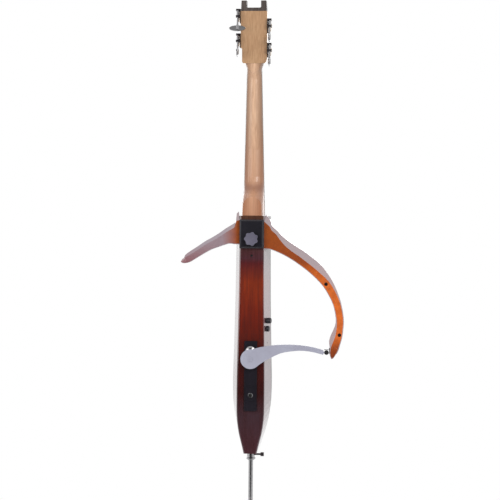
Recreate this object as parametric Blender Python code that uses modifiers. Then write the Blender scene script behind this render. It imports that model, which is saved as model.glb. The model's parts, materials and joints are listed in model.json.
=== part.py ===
"""Electric double bass with a slim hollow body and two detachable shoulder frames.

Metres, +Z up. The origin is the middle of the endpin's rubber foot, on the floor.
The strings face -Y, the back faces +Y, the treble side is +X and the bass side is -X.
"""

import math

import bmesh
import bpy
import numpy as np
from mathutils import Matrix, Vector

# Clearances
GAP = 0.0003
RUNNING = 0.0004
SOCKET_CLEARANCE = 0.0005

# Body
ENDPIN_SHOWN = 0.380
BODY_LENGTH = 0.728
BODY_DEPTH = 0.075
BODY_FRONT_Y = -0.035
SHELL_WALL = 0.006
SHELL_TOP_WALL = 0.008
BACK_EDGE_RADIUS = 0.004
TOP_THICKNESS = 0.006
TOP_EDGE_BEVEL = 0.002
NECK_BLOCK_LENGTH = 0.130
END_BLOCK_LENGTH = 0.056
SADDLE_SIZE = (0.032, 0.005, 0.007)
BACK_SCREW_DROP = 0.122
BACK_SCREW_RADIUS = 0.0036

# Strings, nut and bridge
STRING_LENGTH = 1.048
BRIDGE_HEIGHT = 0.144
NUT_CROWN_Y = -0.028
BRIDGE_CROWN = 0.081
NUT_SPREAD = 0.034
BRIDGE_SPREAD = 0.084
TAIL_SPREAD = 0.044
POST_SPREAD = 0.038
NUT_THICKNESS = 0.0075
BRIDGE_ARCH = 0.075
BRIDGE_HALF_WIDTH = 0.0475
BRIDGE_THICKNESS = 0.016
BRIDGE_TOP_THICKNESS = 0.006
FOOT_SPREAD = 0.076
BRIDGE_FOOT_SIZE = (0.030, 0.014, 0.018)
PICKUP_THICKNESS = 0.0015
WHEEL_RADIUS = 0.011
WHEEL_THICKNESS = 0.004
STEM_RADIUS = 0.003
STEM_REACH = 0.012
TAILPIECE_LENGTH = 0.080
TAILPIECE_WIDE = 0.062
TAILPIECE_NARROW = 0.029
TAILPIECE_THICKNESS = 0.012
TAILPIECE_FOOT = (-0.053, 0.022)
TAILPIECE_LEAN = math.radians(20)
TAIL_WIRE_RADIUS = 0.0015

# Fingerboard and neck
FINGERBOARD_LENGTH = 0.870
FINGERBOARD_NUT_WIDTH = 0.046
FINGERBOARD_END_WIDTH = 0.086
FINGERBOARD_NUT_THICKNESS = 0.012
FINGERBOARD_END_THICKNESS = 0.022
FINGERBOARD_ARCH = 0.065
NUT_ACTION = 0.0015
END_ACTION = 0.008
NECK_DEPTH = 0.0235
NECK_INSET = 0.0005
HEEL_FACE_HEIGHT = 0.056
HEEL_SCOOP = 0.060
TENON_WIDTH = 0.028
TENON_DEPTH = 0.040
TENON_LENGTH = 0.038

# Head
HEAD_ABOVE_NUT = 0.0093
HEAD_BACK_Y = 0.016
HEAD_TILT = math.radians(6)
HEAD_LENGTH = 0.159
HEAD_DEPTH = 0.034
HEAD_HALF_WIDTH = 0.0405
HEAD_WAIST_HALF_WIDTH = 0.0365
HEAD_WAIST_HEIGHT = 0.044
HEAD_CORNER_RADIUS = 0.006
PEGBOX_HALF_WIDTH = 0.023
PEGBOX_FLOOR = 0.007
PEGBOX_LOW = 0.004
PEGBOX_HIGH = 0.152
FORK_BASE = 0.010
FORK_HEIGHT = 0.0315
FORK_HALF_WIDTH = 0.0395
FORK_TOP_HALF_WIDTH = 0.038
FORK_GAP_HALF_WIDTH = 0.022

# Machine heads
POST_BEHIND = 0.015
POST_RADIUS = 0.0045
POST_REACH = 0.007
GEAR_OFFSET = 0.049
GEAR_RADIUS = 0.017
GEAR_THICKNESS = 0.005
WORM_RADIUS = 0.0045
WORM_MESH_GAP = 0.0005
WORM_HALF_LENGTH = 0.008
WORM_LEAN = math.radians(22)
LUG_THICKNESS = 0.004
LUG_REACH = 0.0055
SHAFT_RADIUS = 0.003
KEY_DROP = 0.0499
KEY_HALF_WIDTH = 0.025
KEY_HALF_HEIGHT = 0.009
KEY_THICKNESS = 0.0035
PLATE_THICKNESS = 0.0025
# String name, side, height up the head, string radius, key turn at rest
TUNERS = (
    ("e", -1, 0.040, 0.00130, 0.0),
    ("a", -1, 0.114, 0.00105, 0.0),
    ("d", 1, 0.1435, 0.00080, math.radians(90)),
    ("g", 1, 0.069, 0.00055, 0.0),
)

# Endpin
FOOT_LENGTH = 0.036
FOOT_RADIUS = 0.012
ROD_RADIUS = 0.007
ROD_INSIDE = 0.140
SOCKET_TUBE_RADIUS = 0.010
SOCKET_LENGTH = 0.060
COLLAR_RADIUS = 0.012
COLLAR_LENGTH = 0.0145
FLANGE_RADIUS = 0.0145
FLANGE_LENGTH = 0.0085
THUMB_SCREW_DROP = 0.006
THUMB_SCREW_REACH = 0.040
THUMB_SCREW_RADIUS = 0.003
THUMB_HEAD_RADIUS = 0.0062
THUMB_HEAD_LENGTH = 0.010

# Clamp block and star knob
YOKE_WIDTH = 0.074
YOKE_HEIGHT = 0.088
YOKE_THICKNESS = 0.0137
YOKE_BEVEL = 0.005
YOKE_DROP = 0.012
STAR_DROP = 0.0715
STAR_RADIUS = 0.0215
STAR_LOBE_DEPTH = 0.0035
STAR_LOBES = 7
STAR_THICKNESS = 0.013
STAR_STAND_OFF = 0.004
CLAMP_SCREW_RADIUS = 0.004
CLAMP_SCREW_REACH = 0.034

# Shoulder frames
FRAME_BODY_GAP = 0.0005
FRAME_BEVEL_SLOPE = 0.8
FRAME_FRONT_BEVEL = 0.003
TONGUE_REACH = 0.022
TONGUE_DEPTH = 0.024
TONGUE_HEIGHT = 0.040
TONGUE_DROP = 0.028
FRAME_SCREW_RADIUS = 0.0052
FRAME_SCREW_SHANK = 0.0022
FRAME_SCREW_SUNK = 0.0012
FRAME_SCREW_HEAD = 0.0025
FRAME_SCREW_LENGTH = 0.014
# Each row: x, height above the body's bottom, width of the back face, outer bevel,
# inner bevel, depth position of the back face, depth of the frame
BASS_FRAME_ROWS = (
    (-0.0260, 0.6300, 0.084, 0.0270, 0.0020, 0.036, 0.066),
    (-0.0500, 0.6280, 0.066, 0.0180, 0.0020, 0.036, 0.064),
    (-0.0600, 0.6265, 0.047, 0.0120, 0.0020, 0.036, 0.062),
    (-0.0851, 0.6167, 0.028, 0.0170, 0.0020, 0.037, 0.058),
    (-0.1116, 0.6034, 0.020, 0.0200, 0.0020, 0.038, 0.054),
    (-0.1343, 0.5895, 0.019, 0.0210, 0.0020, 0.039, 0.052),
    (-0.1571, 0.5735, 0.018, 0.0215, 0.0020, 0.040, 0.050),
    (-0.1780, 0.5575, 0.018, 0.0210, 0.0020, 0.041, 0.049),
    (-0.1990, 0.5385, 0.019, 0.0170, 0.0020, 0.042, 0.048),
    (-0.2200, 0.5160, 0.021, 0.0100, 0.0020, 0.043, 0.046),
    (-0.2375, 0.4887, 0.021, 0.0060, 0.0020, 0.045, 0.044),
    (-0.2528, 0.4566, 0.020, 0.0030, 0.0020, 0.048, 0.042),
    (-0.2617, 0.4165, 0.019, 0.0025, 0.0030, 0.052, 0.040),
    (-0.2621, 0.3918, 0.018, 0.0025, 0.0065, 0.055, 0.039),
    (-0.2579, 0.3634, 0.019, 0.0025, 0.0140, 0.058, 0.038),
    (-0.2500, 0.3427, 0.021, 0.0025, 0.0120, 0.060, 0.037),
    (-0.2445, 0.3270, 0.022, 0.0025, 0.0030, 0.062, 0.036),
    (-0.2435, 0.3091, 0.017, 0.0025, 0.0020, 0.062, 0.036),
    (-0.2465, 0.2990, 0.010, 0.0020, 0.0020, 0.062, 0.034),
    (-0.2485, 0.2950, 0.004, 0.0015, 0.0015, 0.061, 0.032),
)
WING_ROWS = (
    (0.0260, 0.6420, 0.074, 0.0260, 0.0020, 0.036, 0.066),
    (0.0450, 0.6423, 0.071, 0.0270, 0.0020, 0.036, 0.064),
    (0.0560, 0.6426, 0.062, 0.0210, 0.0020, 0.036, 0.060),
    (0.0720, 0.6438, 0.034, 0.0120, 0.0020, 0.036, 0.056),
    (0.1050, 0.6327, 0.023, 0.0110, 0.0020, 0.036, 0.050),
    (0.1272, 0.6244, 0.020, 0.0100, 0.0020, 0.036, 0.046),
    (0.1491, 0.6121, 0.018, 0.0096, 0.0020, 0.035, 0.042),
    (0.1712, 0.5985, 0.017, 0.0100, 0.0020, 0.034, 0.038),
    (0.1903, 0.5868, 0.017, 0.0090, 0.0020, 0.033, 0.034),
    (0.2040, 0.5830, 0.015, 0.0070, 0.0020, 0.033, 0.031),
    (0.2130, 0.5835, 0.010, 0.0060, 0.0020, 0.032, 0.028),
    (0.2185, 0.5860, 0.005, 0.0035, 0.0015, 0.031, 0.025),
)
# Name, x and height above the body's bottom of the two frame screws
FRAME_SCREWS = (("frame_screw_upper", -0.2281, 0.5207), ("frame_screw_lower", -0.2702, 0.3671))

# Control strip
PANEL_WIDTH = 0.039
PANEL_LOW = 0.131
PANEL_HIGH = 0.345
PANEL_THICKNESS = 0.0037
PANEL_RADIUS = 0.002
LID_WIDTH = 0.027
LID_HEIGHT = 0.052
LID_LOW = 0.2076
LID_THICKNESS = 0.0020
LID_SEAT = 0.0012
BATTERY_SIZE = (0.0175, 0.0265, 0.0485)
WELL_WALL = 0.0015
JACK_HEIGHT = 0.1786
JACK_POCKET_LOW = 0.160
JACK_POCKET_HIGH = 0.201
JACK_POCKET_DEPTH = 0.0012
JACK_FLANGE_RADIUS = 0.0074
JACK_FLANGE_THICKNESS = 0.0022
JACK_BARREL_RADIUS = 0.0055
JACK_BARREL_LENGTH = 0.022
JACK_BORE_RADIUS = 0.0033
JACK_BORE_DEPTH = 0.017
VOLUME_ABOVE_ARM = 0.023
VOLUME_RADIUS = 0.016
VOLUME_HEIGHT = 0.0085
BOARD_LOW = 0.274
BOARD_HIGH = 0.342
BOARD_WIDTH = 0.044
BOARD_THICKNESS = 0.0016
BOARD_STAND_OFF = 0.006
POT_RADIUS = 0.008
CONTROL_SHAFT_RADIUS = 0.003
TONE_RADIUS = 0.0088
TONE_DEPTH = 0.055
TONE_HEIGHTS = (0.407, 0.382)
TONE_LENGTHS = (0.017, 0.012)

# Support arm
ARM_HEIGHT = 0.2906
ARM_BACK_GAP = 0.0095
ARM_THICKNESS = 0.007
ARM_HUB_RADIUS = 0.030
BUSH_RADIUS = 0.0050
BUSH_SHOULDER_RADIUS = 0.0059
ARM_SCREW_RADIUS = 0.0025
ARM_SCREW_HEAD_RADIUS = 0.0075
ARM_SCREW_HEAD_THICKNESS = 0.0020
ARM_COUNTERBORE = 0.0025
ARM_EDGE_BEVEL = 0.0012
# Distance from the pivot towards the bass side, and height above the pivot
ARM_UPPER_EDGE = ((0.014, 0.0342), (0.042, 0.0389), (0.074, 0.0438), (0.112, 0.0460),
                  (0.149, 0.0447), (0.186, 0.0401), (0.222, 0.0310))
ARM_LOWER_EDGE = ((0.018, -0.0240), (0.041, -0.0068), (0.065, 0.0062), (0.093, 0.0194),
                  (0.121, 0.0250), (0.158, 0.0278), (0.186, 0.0250), (0.222, 0.0165))
BALL_REACH = 0.2317
BALL_RISE = 0.0234
BALL_RADIUS = 0.0072
BALL_PIN_RADIUS = 0.0030
CLIP_THICKNESS = 0.0015
CLIP_WIDTH = 0.016
CLIP_LIP_REACH = 0.015
CLIP_BALL_GAP = 0.0008

# Places worked out from the sizes
BODY_Z = ENDPIN_SHOWN
BODY_TOP_Z = BODY_Z + BODY_LENGTH
BODY_BACK_Y = BODY_FRONT_Y + BODY_DEPTH
INNER_BACK_Y = BODY_BACK_Y - SHELL_WALL
TOP_FACE_Y = BODY_FRONT_Y - GAP - TOP_THICKNESS
BRIDGE_Z = BODY_Z + BRIDGE_HEIGHT
BRIDGE_CROWN_Y = TOP_FACE_Y - BRIDGE_CROWN
NUT_Z = BRIDGE_Z + math.sqrt(STRING_LENGTH**2 - (BRIDGE_CROWN_Y - NUT_CROWN_Y) ** 2)
HEAD_Z = NUT_Z + HEAD_ABOVE_NUT
PANEL_BACK_Y = BODY_BACK_Y + GAP
PANEL_FACE_Y = PANEL_BACK_Y + PANEL_THICKNESS
ARM_Z = BODY_Z + ARM_HEIGHT
ARM_FRONT_Y = PANEL_FACE_Y + ARM_BACK_GAP
ARM_BACK_Y = ARM_FRONT_Y + ARM_THICKNESS
YOKE_TOP_Z = BODY_TOP_Z - YOKE_DROP
YOKE_BACK_Y = BODY_BACK_Y + GAP + YOKE_THICKNESS
STAR_Z = BODY_TOP_Z - STAR_DROP
WORM_DISTANCE = GEAR_RADIUS + WORM_RADIUS + WORM_MESH_GAP

# Half widths of the body's front and back, by height above its bottom
BODY_WIDTHS = (
    (0.000, 0.0200, 0.0200),
    (0.022, 0.0275, 0.0250),
    (0.068, 0.0425, 0.0360),
    (0.114, 0.0530, 0.0415),
    (0.160, 0.0590, 0.0420),
    (0.210, 0.0605, 0.0420),
    (0.300, 0.0585, 0.0410),
    (BODY_LENGTH - 0.259, 0.0550, 0.0380),
    (BODY_LENGTH, 0.0530, 0.0360),
)

# Colour, roughness and metallic value of each finish
FINISHES = {
    "brown_lacquer": (0x6B2312, 0.15, 0.0),
    "spruce_top": (0xB5713A, 0.2, 0.0),
    "orange_lacquer": (0xC8642A, 0.15, 0.0),
    "maple": (0xC49872, 0.4, 0.0),
    "dark_crest": (0x554844, 0.4, 0.0),
    "ebony": (0x1E1A18, 0.4, 0.0),
    "block_wood": (0xC9A274, 0.7, 0.0),
    "bridge_wood": (0xC79A62, 0.5, 0.0),
    "black_plate": (0x17141F, 0.45, 0.0),
    "star_knob_grey": (0x5E5C6B, 0.5, 0.0),
    "arm_grey": (0xA4A5B4, 0.4, 0.3),
    "black_rubber": (0x141414, 0.8, 0.0),
    "black_plastic": (0x1C1425, 0.5, 0.0),
    "chrome": (0xB8B6B7, 0.2, 1.0),
    "dark_steel": (0x3A3436, 0.35, 1.0),
    "brass_metal": (0xB08D57, 0.35, 1.0),
    "string_steel": (0x8A8A8C, 0.35, 1.0),
    "board_green": (0x2F5A3A, 0.6, 0.0),
    "battery_case": (0x2B2D33, 0.5, 0.0),
}


def clear_scene():
    for thing in list(bpy.data.objects):
        bpy.data.objects.remove(thing, do_unlink=True)


def linear(channel):
    share = channel / 255
    return share / 12.92 if share <= 0.04045 else ((share + 0.055) / 1.055) ** 2.4


def finish(name):
    """The material of that name, made the first time that it is asked for."""
    found = bpy.data.materials.get(name)
    if found:
        return found
    colour, roughness, metallic = FINISHES[name]
    made = bpy.data.materials.new(name)
    made.use_nodes = True
    shader = made.node_tree.nodes["Principled BSDF"]
    channels = [linear(colour >> shift & 0xFF) for shift in (16, 8, 0)]
    shader.inputs["Base Color"].default_value = (*channels, 1.0)
    shader.inputs["Roughness"].default_value = roughness
    shader.inputs["Metallic"].default_value = metallic
    return made


def new_collection(name, hidden=False):
    made = bpy.data.collections.new(name)
    bpy.context.scene.collection.children.link(made)
    made.hide_render = hidden
    return made


def collection(name):
    return bpy.data.collections[name]


def place(thing, location=(0, 0, 0), turn=(0, 0, 0), parent=None):
    thing.location = location
    thing.rotation_euler = turn
    thing.parent = parent
    return thing


def piece(name, mesh, material, location=(0, 0, 0), turn=(0, 0, 0), parent=None):
    """A visible part of the instrument."""
    mesh.name = name
    mesh.materials.clear()
    mesh.materials.append(finish(material))
    made = bpy.data.objects.new(name, mesh)
    collection("electric_double_bass").objects.link(made)
    return place(made, location, turn, parent)


def tool(name, mesh, location=(0, 0, 0), turn=(0, 0, 0), parent=None):
    """A hidden shape that cuts a part or is joined to it."""
    made = bpy.data.objects.new(name, mesh)
    collection("cutters").objects.link(made)
    made.hide_render = True
    made.display_type = "WIRE"
    return place(made, location, turn, parent)


def boolean(target, other, operation):
    made = target.modifiers.new(f"{operation.lower()} {other.name}", "BOOLEAN")
    made.operation = operation
    made.solver = "EXACT"
    made.object = other
    return target


def cut(target, *others):
    for other in others:
        boolean(target, other, "DIFFERENCE")
    return target


def join(target, *others):
    for other in others:
        boolean(target, other, "UNION")
    return target


def bevel(target, width, segments=2, angle=35):
    made = target.modifiers.new("rounded edges", "BEVEL")
    made.width = width
    made.segments = segments
    made.limit_method = "ANGLE"
    made.angle_limit = math.radians(angle)
    return target


def finished(work, smooth=False):
    """The mesh of a bmesh, with its faces pointing out."""
    bmesh.ops.recalc_face_normals(work, faces=work.faces)
    mesh = bpy.data.meshes.new("shape")
    work.to_mesh(mesh)
    work.free()
    if smooth:
        mesh.shade_smooth()
        mesh.set_sharp_from_angle(angle=math.radians(35))
    return mesh


def box(low, high):
    work = bmesh.new()
    bmesh.ops.create_cube(work, size=1)
    low, high = Vector(low), Vector(high)
    size = high - low
    for vertex in work.verts:
        spot = Vector(vertex.co) + Vector((0.5, 0.5, 0.5))
        vertex.co = low + Vector(a * b for a, b in zip(spot, size))
    return finished(work)


def rod(start, end, radius, sides=24, end_radius=None):
    """A solid cylinder or cone from one point to another."""
    start, end = Vector(start), Vector(end)
    along = end - start
    turned_to = Vector((0, 0, 1)).rotation_difference(along.normalized()).to_matrix().to_4x4()
    work = bmesh.new()
    bmesh.ops.create_cone(
        work,
        cap_ends=True,
        segments=sides,
        radius1=radius,
        radius2=radius if end_radius is None else end_radius,
        depth=along.length,
        matrix=Matrix.Translation((start + end) / 2) @ turned_to,
    )
    return finished(work, smooth=True)


def turned(profile, steps=24):
    """A profile of radius and height, top to bottom on its outer side, turned about Z.

    The profile is closed by itself unless it starts and ends on the axis.
    """
    work = bmesh.new()
    corners = [work.verts.new((radius, 0, height)) for radius, height in profile]
    for first, second in zip(corners, corners[1:]):
        work.edges.new((first, second))
    if profile[0][0] > 0:
        work.edges.new((corners[-1], corners[0]))
    mesh = bpy.data.meshes.new("profile")
    work.to_mesh(mesh)
    work.free()
    return mesh, steps


def screwed(thing, steps):
    made = thing.modifiers.new("turned", "SCREW")
    made.steps = steps
    made.render_steps = steps
    made.use_merge_vertices = True
    made.merge_threshold = 0.00002
    return thing


def turned_piece(name, profile, material, location=(0, 0, 0), turn=(0, 0, 0), parent=None, steps=24):
    mesh, steps = turned(profile, steps)
    return screwed(piece(name, mesh, material, location, turn, parent), steps)


def rounded(corners, steps=3):
    """A closed outline from corners of x, y and radius, each sharp corner made an arc."""
    points = []
    count = len(corners)
    for index, (x, y, radius) in enumerate(corners):
        here = Vector((x, y))
        if radius <= 0:
            points.append(here)
            continue
        before = (Vector(corners[index - 1][:2]) - here).normalized()
        after = (Vector(corners[(index + 1) % count][:2]) - here).normalized()
        half = before.angle(after) / 2
        reach = radius / math.tan(half)
        middle = here + (before + after).normalized() * radius / math.sin(half)
        start = here + before * reach - middle
        end = here + after * reach - middle
        for step in range(steps + 1):
            share = step / steps
            spoke = start.lerp(end, share)
            points.append(middle + spoke.normalized() * radius)
    return points


def flat(outlines, thickness):
    """A plate between outlines in the XY plane, its thickness centred on it. The first outline
    is the outer edge and the others are holes."""
    curve = bpy.data.curves.new("outline", "CURVE")
    curve.dimensions = "2D"
    curve.fill_mode = "BOTH"
    curve.extrude = thickness / 2
    for outline in outlines:
        spline = curve.splines.new("POLY")
        spline.points.add(len(outline) - 1)
        spline.use_cyclic_u = True
        for point, (x, y) in zip(spline.points, outline):
            point.co = (x, y, 0, 1)
    holder = bpy.data.objects.new("outline", curve)
    bpy.context.scene.collection.objects.link(holder)
    bpy.context.view_layer.update()
    ready = holder.evaluated_get(bpy.context.evaluated_depsgraph_get())
    mesh = bpy.data.meshes.new_from_object(ready)
    bpy.data.objects.remove(holder, do_unlink=True)
    work = bmesh.new()
    work.from_mesh(mesh)
    bmesh.ops.remove_doubles(work, verts=work.verts, dist=0.00001)
    return finished(work)


def loft(rings):
    """A closed solid through rings that have as many points each, capped at both ends."""
    work = bmesh.new()
    made = [[work.verts.new(point) for point in ring] for ring in rings]
    count = len(made[0])
    for lower, upper in zip(made, made[1:]):
        for index in range(count):
            after = (index + 1) % count
            work.faces.new((lower[index], lower[after], upper[after]))
            work.faces.new((lower[index], upper[after], upper[index]))
    work.faces.new(made[0][::-1])
    work.faces.new(made[-1])
    return finished(work, smooth=True)


def tube(name, points, radius, material, resolution=2):
    curve = bpy.data.curves.new(name, "CURVE")
    curve.dimensions = "3D"
    curve.bevel_depth = radius
    curve.bevel_resolution = resolution
    curve.use_fill_caps = True
    spline = curve.splines.new("POLY")
    spline.points.add(len(points) - 1)
    for spot, point in zip(spline.points, points):
        spot.co = (*point, 1)
    made = bpy.data.objects.new(name, curve)
    curve.materials.append(finish(material))
    collection("electric_double_bass").objects.link(made)
    return made


def read_table(table, at):
    """The values at a position, from a smooth curve through the table's rows."""
    rows = np.array(table)
    where, values = rows[:, 0], rows[:, 1:]
    slopes = np.gradient(values, where, axis=0)
    at = min(max(at, where[0]), where[-1])
    index = int(np.clip(np.searchsorted(where, at) - 1, 0, len(where) - 2))
    span = where[index + 1] - where[index]
    t = (at - where[index]) / span
    start, end = values[index], values[index + 1]
    leave, arrive = slopes[index] * span, slopes[index + 1] * span
    found = (
        (2 * t**3 - 3 * t**2 + 1) * start
        + (t**3 - 2 * t**2 + t) * leave
        + (3 * t**2 - 2 * t**3) * end
        + (t**3 - t**2) * arrive
    )
    return [float(value) for value in found]


def spread(low, high, count):
    return [low + (high - low) * step / count for step in range(count + 1)]


def mix(low, high, share):
    return low + (high - low) * share


def sag(radius, x):
    """How far an arch of this radius has fallen at a distance from its crown."""
    return radius - math.sqrt(radius**2 - x**2)


# Body

def body_half_width(height, y):
    """Half the body's outer width at a height above its bottom and a depth position."""
    front, back = read_table(BODY_WIDTHS, height)
    return mix(front, back, (y - BODY_FRONT_Y) / BODY_DEPTH)


def body_ring(height, inset, front_y, back_y, radius, z=None):
    """One level outline of the body, moved inwards by the inset."""
    wide = body_half_width(height, front_y) - inset
    narrow = body_half_width(height, back_y) - inset
    corners = (
        (-wide, front_y, 0),
        (wide, front_y, 0),
        (narrow, back_y, radius),
        (-narrow, back_y, radius),
    )
    level = BODY_Z + height if z is None else z
    return [(x, y, level) for x, y in rounded(corners, 2)]


def body_heights(low, high):
    """Levels for a loft of the body, close together where its outline curves."""
    tail = spread(0, 0.16, 8) + spread(0.16, 0.30, 4)[1:]
    upper = spread(0.30, BODY_LENGTH, 5)[1:]
    inside = [height for height in tail + upper if low + 0.002 < height < high - 0.002]
    return [low, *inside, high]


def body_solid(low, high, inset, front_y, back_y, radius=BACK_EDGE_RADIUS):
    heights = body_heights(low, high)
    return loft([body_ring(h, inset, front_y, back_y, radius) for h in heights])


def make_body():
    shell = piece(
        "body_shell",
        body_solid(0, BODY_LENGTH, 0, BODY_FRONT_Y, BODY_BACK_Y),
        "brown_lacquer",
    )
    hollow = tool(
        "body_hollow",
        body_solid(
            SHELL_WALL,
            BODY_LENGTH - SHELL_TOP_WALL,
            SHELL_WALL,
            BODY_FRONT_Y - SHELL_WALL,
            INNER_BACK_Y,
        ),
    )
    cut(shell, hollow)

    edge = [
        (side * body_half_width(height, BODY_FRONT_Y), BODY_Z + height)
        for side in (1, -1)
        for height in body_heights(0, BODY_LENGTH)[::side]
    ]
    top = piece(
        "front_plate",
        flat([edge], TOP_THICKNESS),
        "spruce_top",
        (0, TOP_FACE_Y + TOP_THICKNESS / 2, 0),
        (math.pi / 2, 0, 0),
    )
    bevel(top, TOP_EDGE_BEVEL, 2, 50)

    inset = SHELL_WALL + GAP
    neck_high = BODY_LENGTH - SHELL_TOP_WALL - GAP
    front = BODY_FRONT_Y + GAP
    back = INNER_BACK_Y - GAP
    neck_block = piece(
        "neck_block",
        body_solid(neck_high - NECK_BLOCK_LENGTH, neck_high, inset, front, back),
        "block_wood",
    )
    end_low = SHELL_WALL + GAP
    end_block = piece(
        "end_block",
        body_solid(end_low, end_low + END_BLOCK_LENGTH, inset, front, back),
        "block_wood",
    )
    saddle_low = BODY_Z + GAP
    saddle_face = TOP_FACE_Y - GAP
    saddle = piece(
        "saddle",
        box(
            (-SADDLE_SIZE[0] / 2, saddle_face - SADDLE_SIZE[1], saddle_low),
            (SADDLE_SIZE[0] / 2, saddle_face, saddle_low + SADDLE_SIZE[2]),
        ),
        "ebony",
    )
    bevel(saddle, 0.001, 2)
    return shell, neck_block, end_block


def make_back_screw(shell, neck_block):
    level = BODY_TOP_Z - BACK_SCREW_DROP
    shank = BACK_SCREW_RADIUS / 2
    head = BODY_BACK_Y + GAP
    tip = INNER_BACK_Y - 0.010
    turned_piece(
        "back_screw",
        [
            (0, 0.0016),
            (BACK_SCREW_RADIUS * 0.8, 0.0014),
            (BACK_SCREW_RADIUS, 0.0008),
            (BACK_SCREW_RADIUS, 0),
            (shank, 0),
            (shank, tip - head),
            (0, tip - head),
        ],
        "dark_steel",
        (0, head, level),
        (-math.pi / 2, 0, 0),
        steps=16,
    )
    bore = tool(
        "back_screw_bore",
        rod((0, tip - GAP, level), (0, head + 0.002, level), shank + GAP, 16),
    )
    cut(shell, bore)
    cut(neck_block, bore)


# Strings, nut, bridge and tailpiece

def string_place(index, spread_at):
    """Sideways place of one string, from the bass side to the treble side."""
    return spread_at * (index / (len(TUNERS) - 1) - 0.5)


def string_crown(z):
    """Depth position of the strings' arch at a height, on the line from nut to bridge."""
    share = (NUT_Z - z) / (NUT_Z - BRIDGE_Z)
    return mix(NUT_CROWN_Y, BRIDGE_CROWN_Y, share)


def fingerboard_share(z):
    return (NUT_Z - z) / FINGERBOARD_LENGTH


def fingerboard_crown(z):
    return string_crown(z) + mix(NUT_ACTION, END_ACTION, fingerboard_share(z))


def fingerboard_half_width(z):
    return mix(FINGERBOARD_NUT_WIDTH, FINGERBOARD_END_WIDTH, fingerboard_share(z)) / 2


def fingerboard_under(z):
    thickness = mix(FINGERBOARD_NUT_THICKNESS, FINGERBOARD_END_THICKNESS, fingerboard_share(z))
    return fingerboard_crown(z) + thickness


def make_fingerboard():
    rings = []
    for z in spread(NUT_Z - FINGERBOARD_LENGTH, NUT_Z, 4):
        half = fingerboard_half_width(z)
        crown = fingerboard_crown(z)
        under = fingerboard_under(z)
        arch = [
            (x, crown + sag(FINGERBOARD_ARCH, x), z)
            for x in spread(-half, half, 10)
        ]
        rings.append([*arch, (half, under, z), (-half, under, z)])
    piece("fingerboard", loft(rings), "ebony")


def make_nut():
    half = FINGERBOARD_NUT_WIDTH / 2
    base = fingerboard_under(NUT_Z)
    low = NUT_Z + GAP
    arch = [(x, NUT_CROWN_Y + sag(FINGERBOARD_ARCH, x)) for x in spread(-half, half, 10)]
    outline = [*arch, (half, base), (-half, base)]
    nut = piece("nut", flat([outline], NUT_THICKNESS), "ebony", (0, 0, low + NUT_THICKNESS / 2))
    return nut


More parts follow.
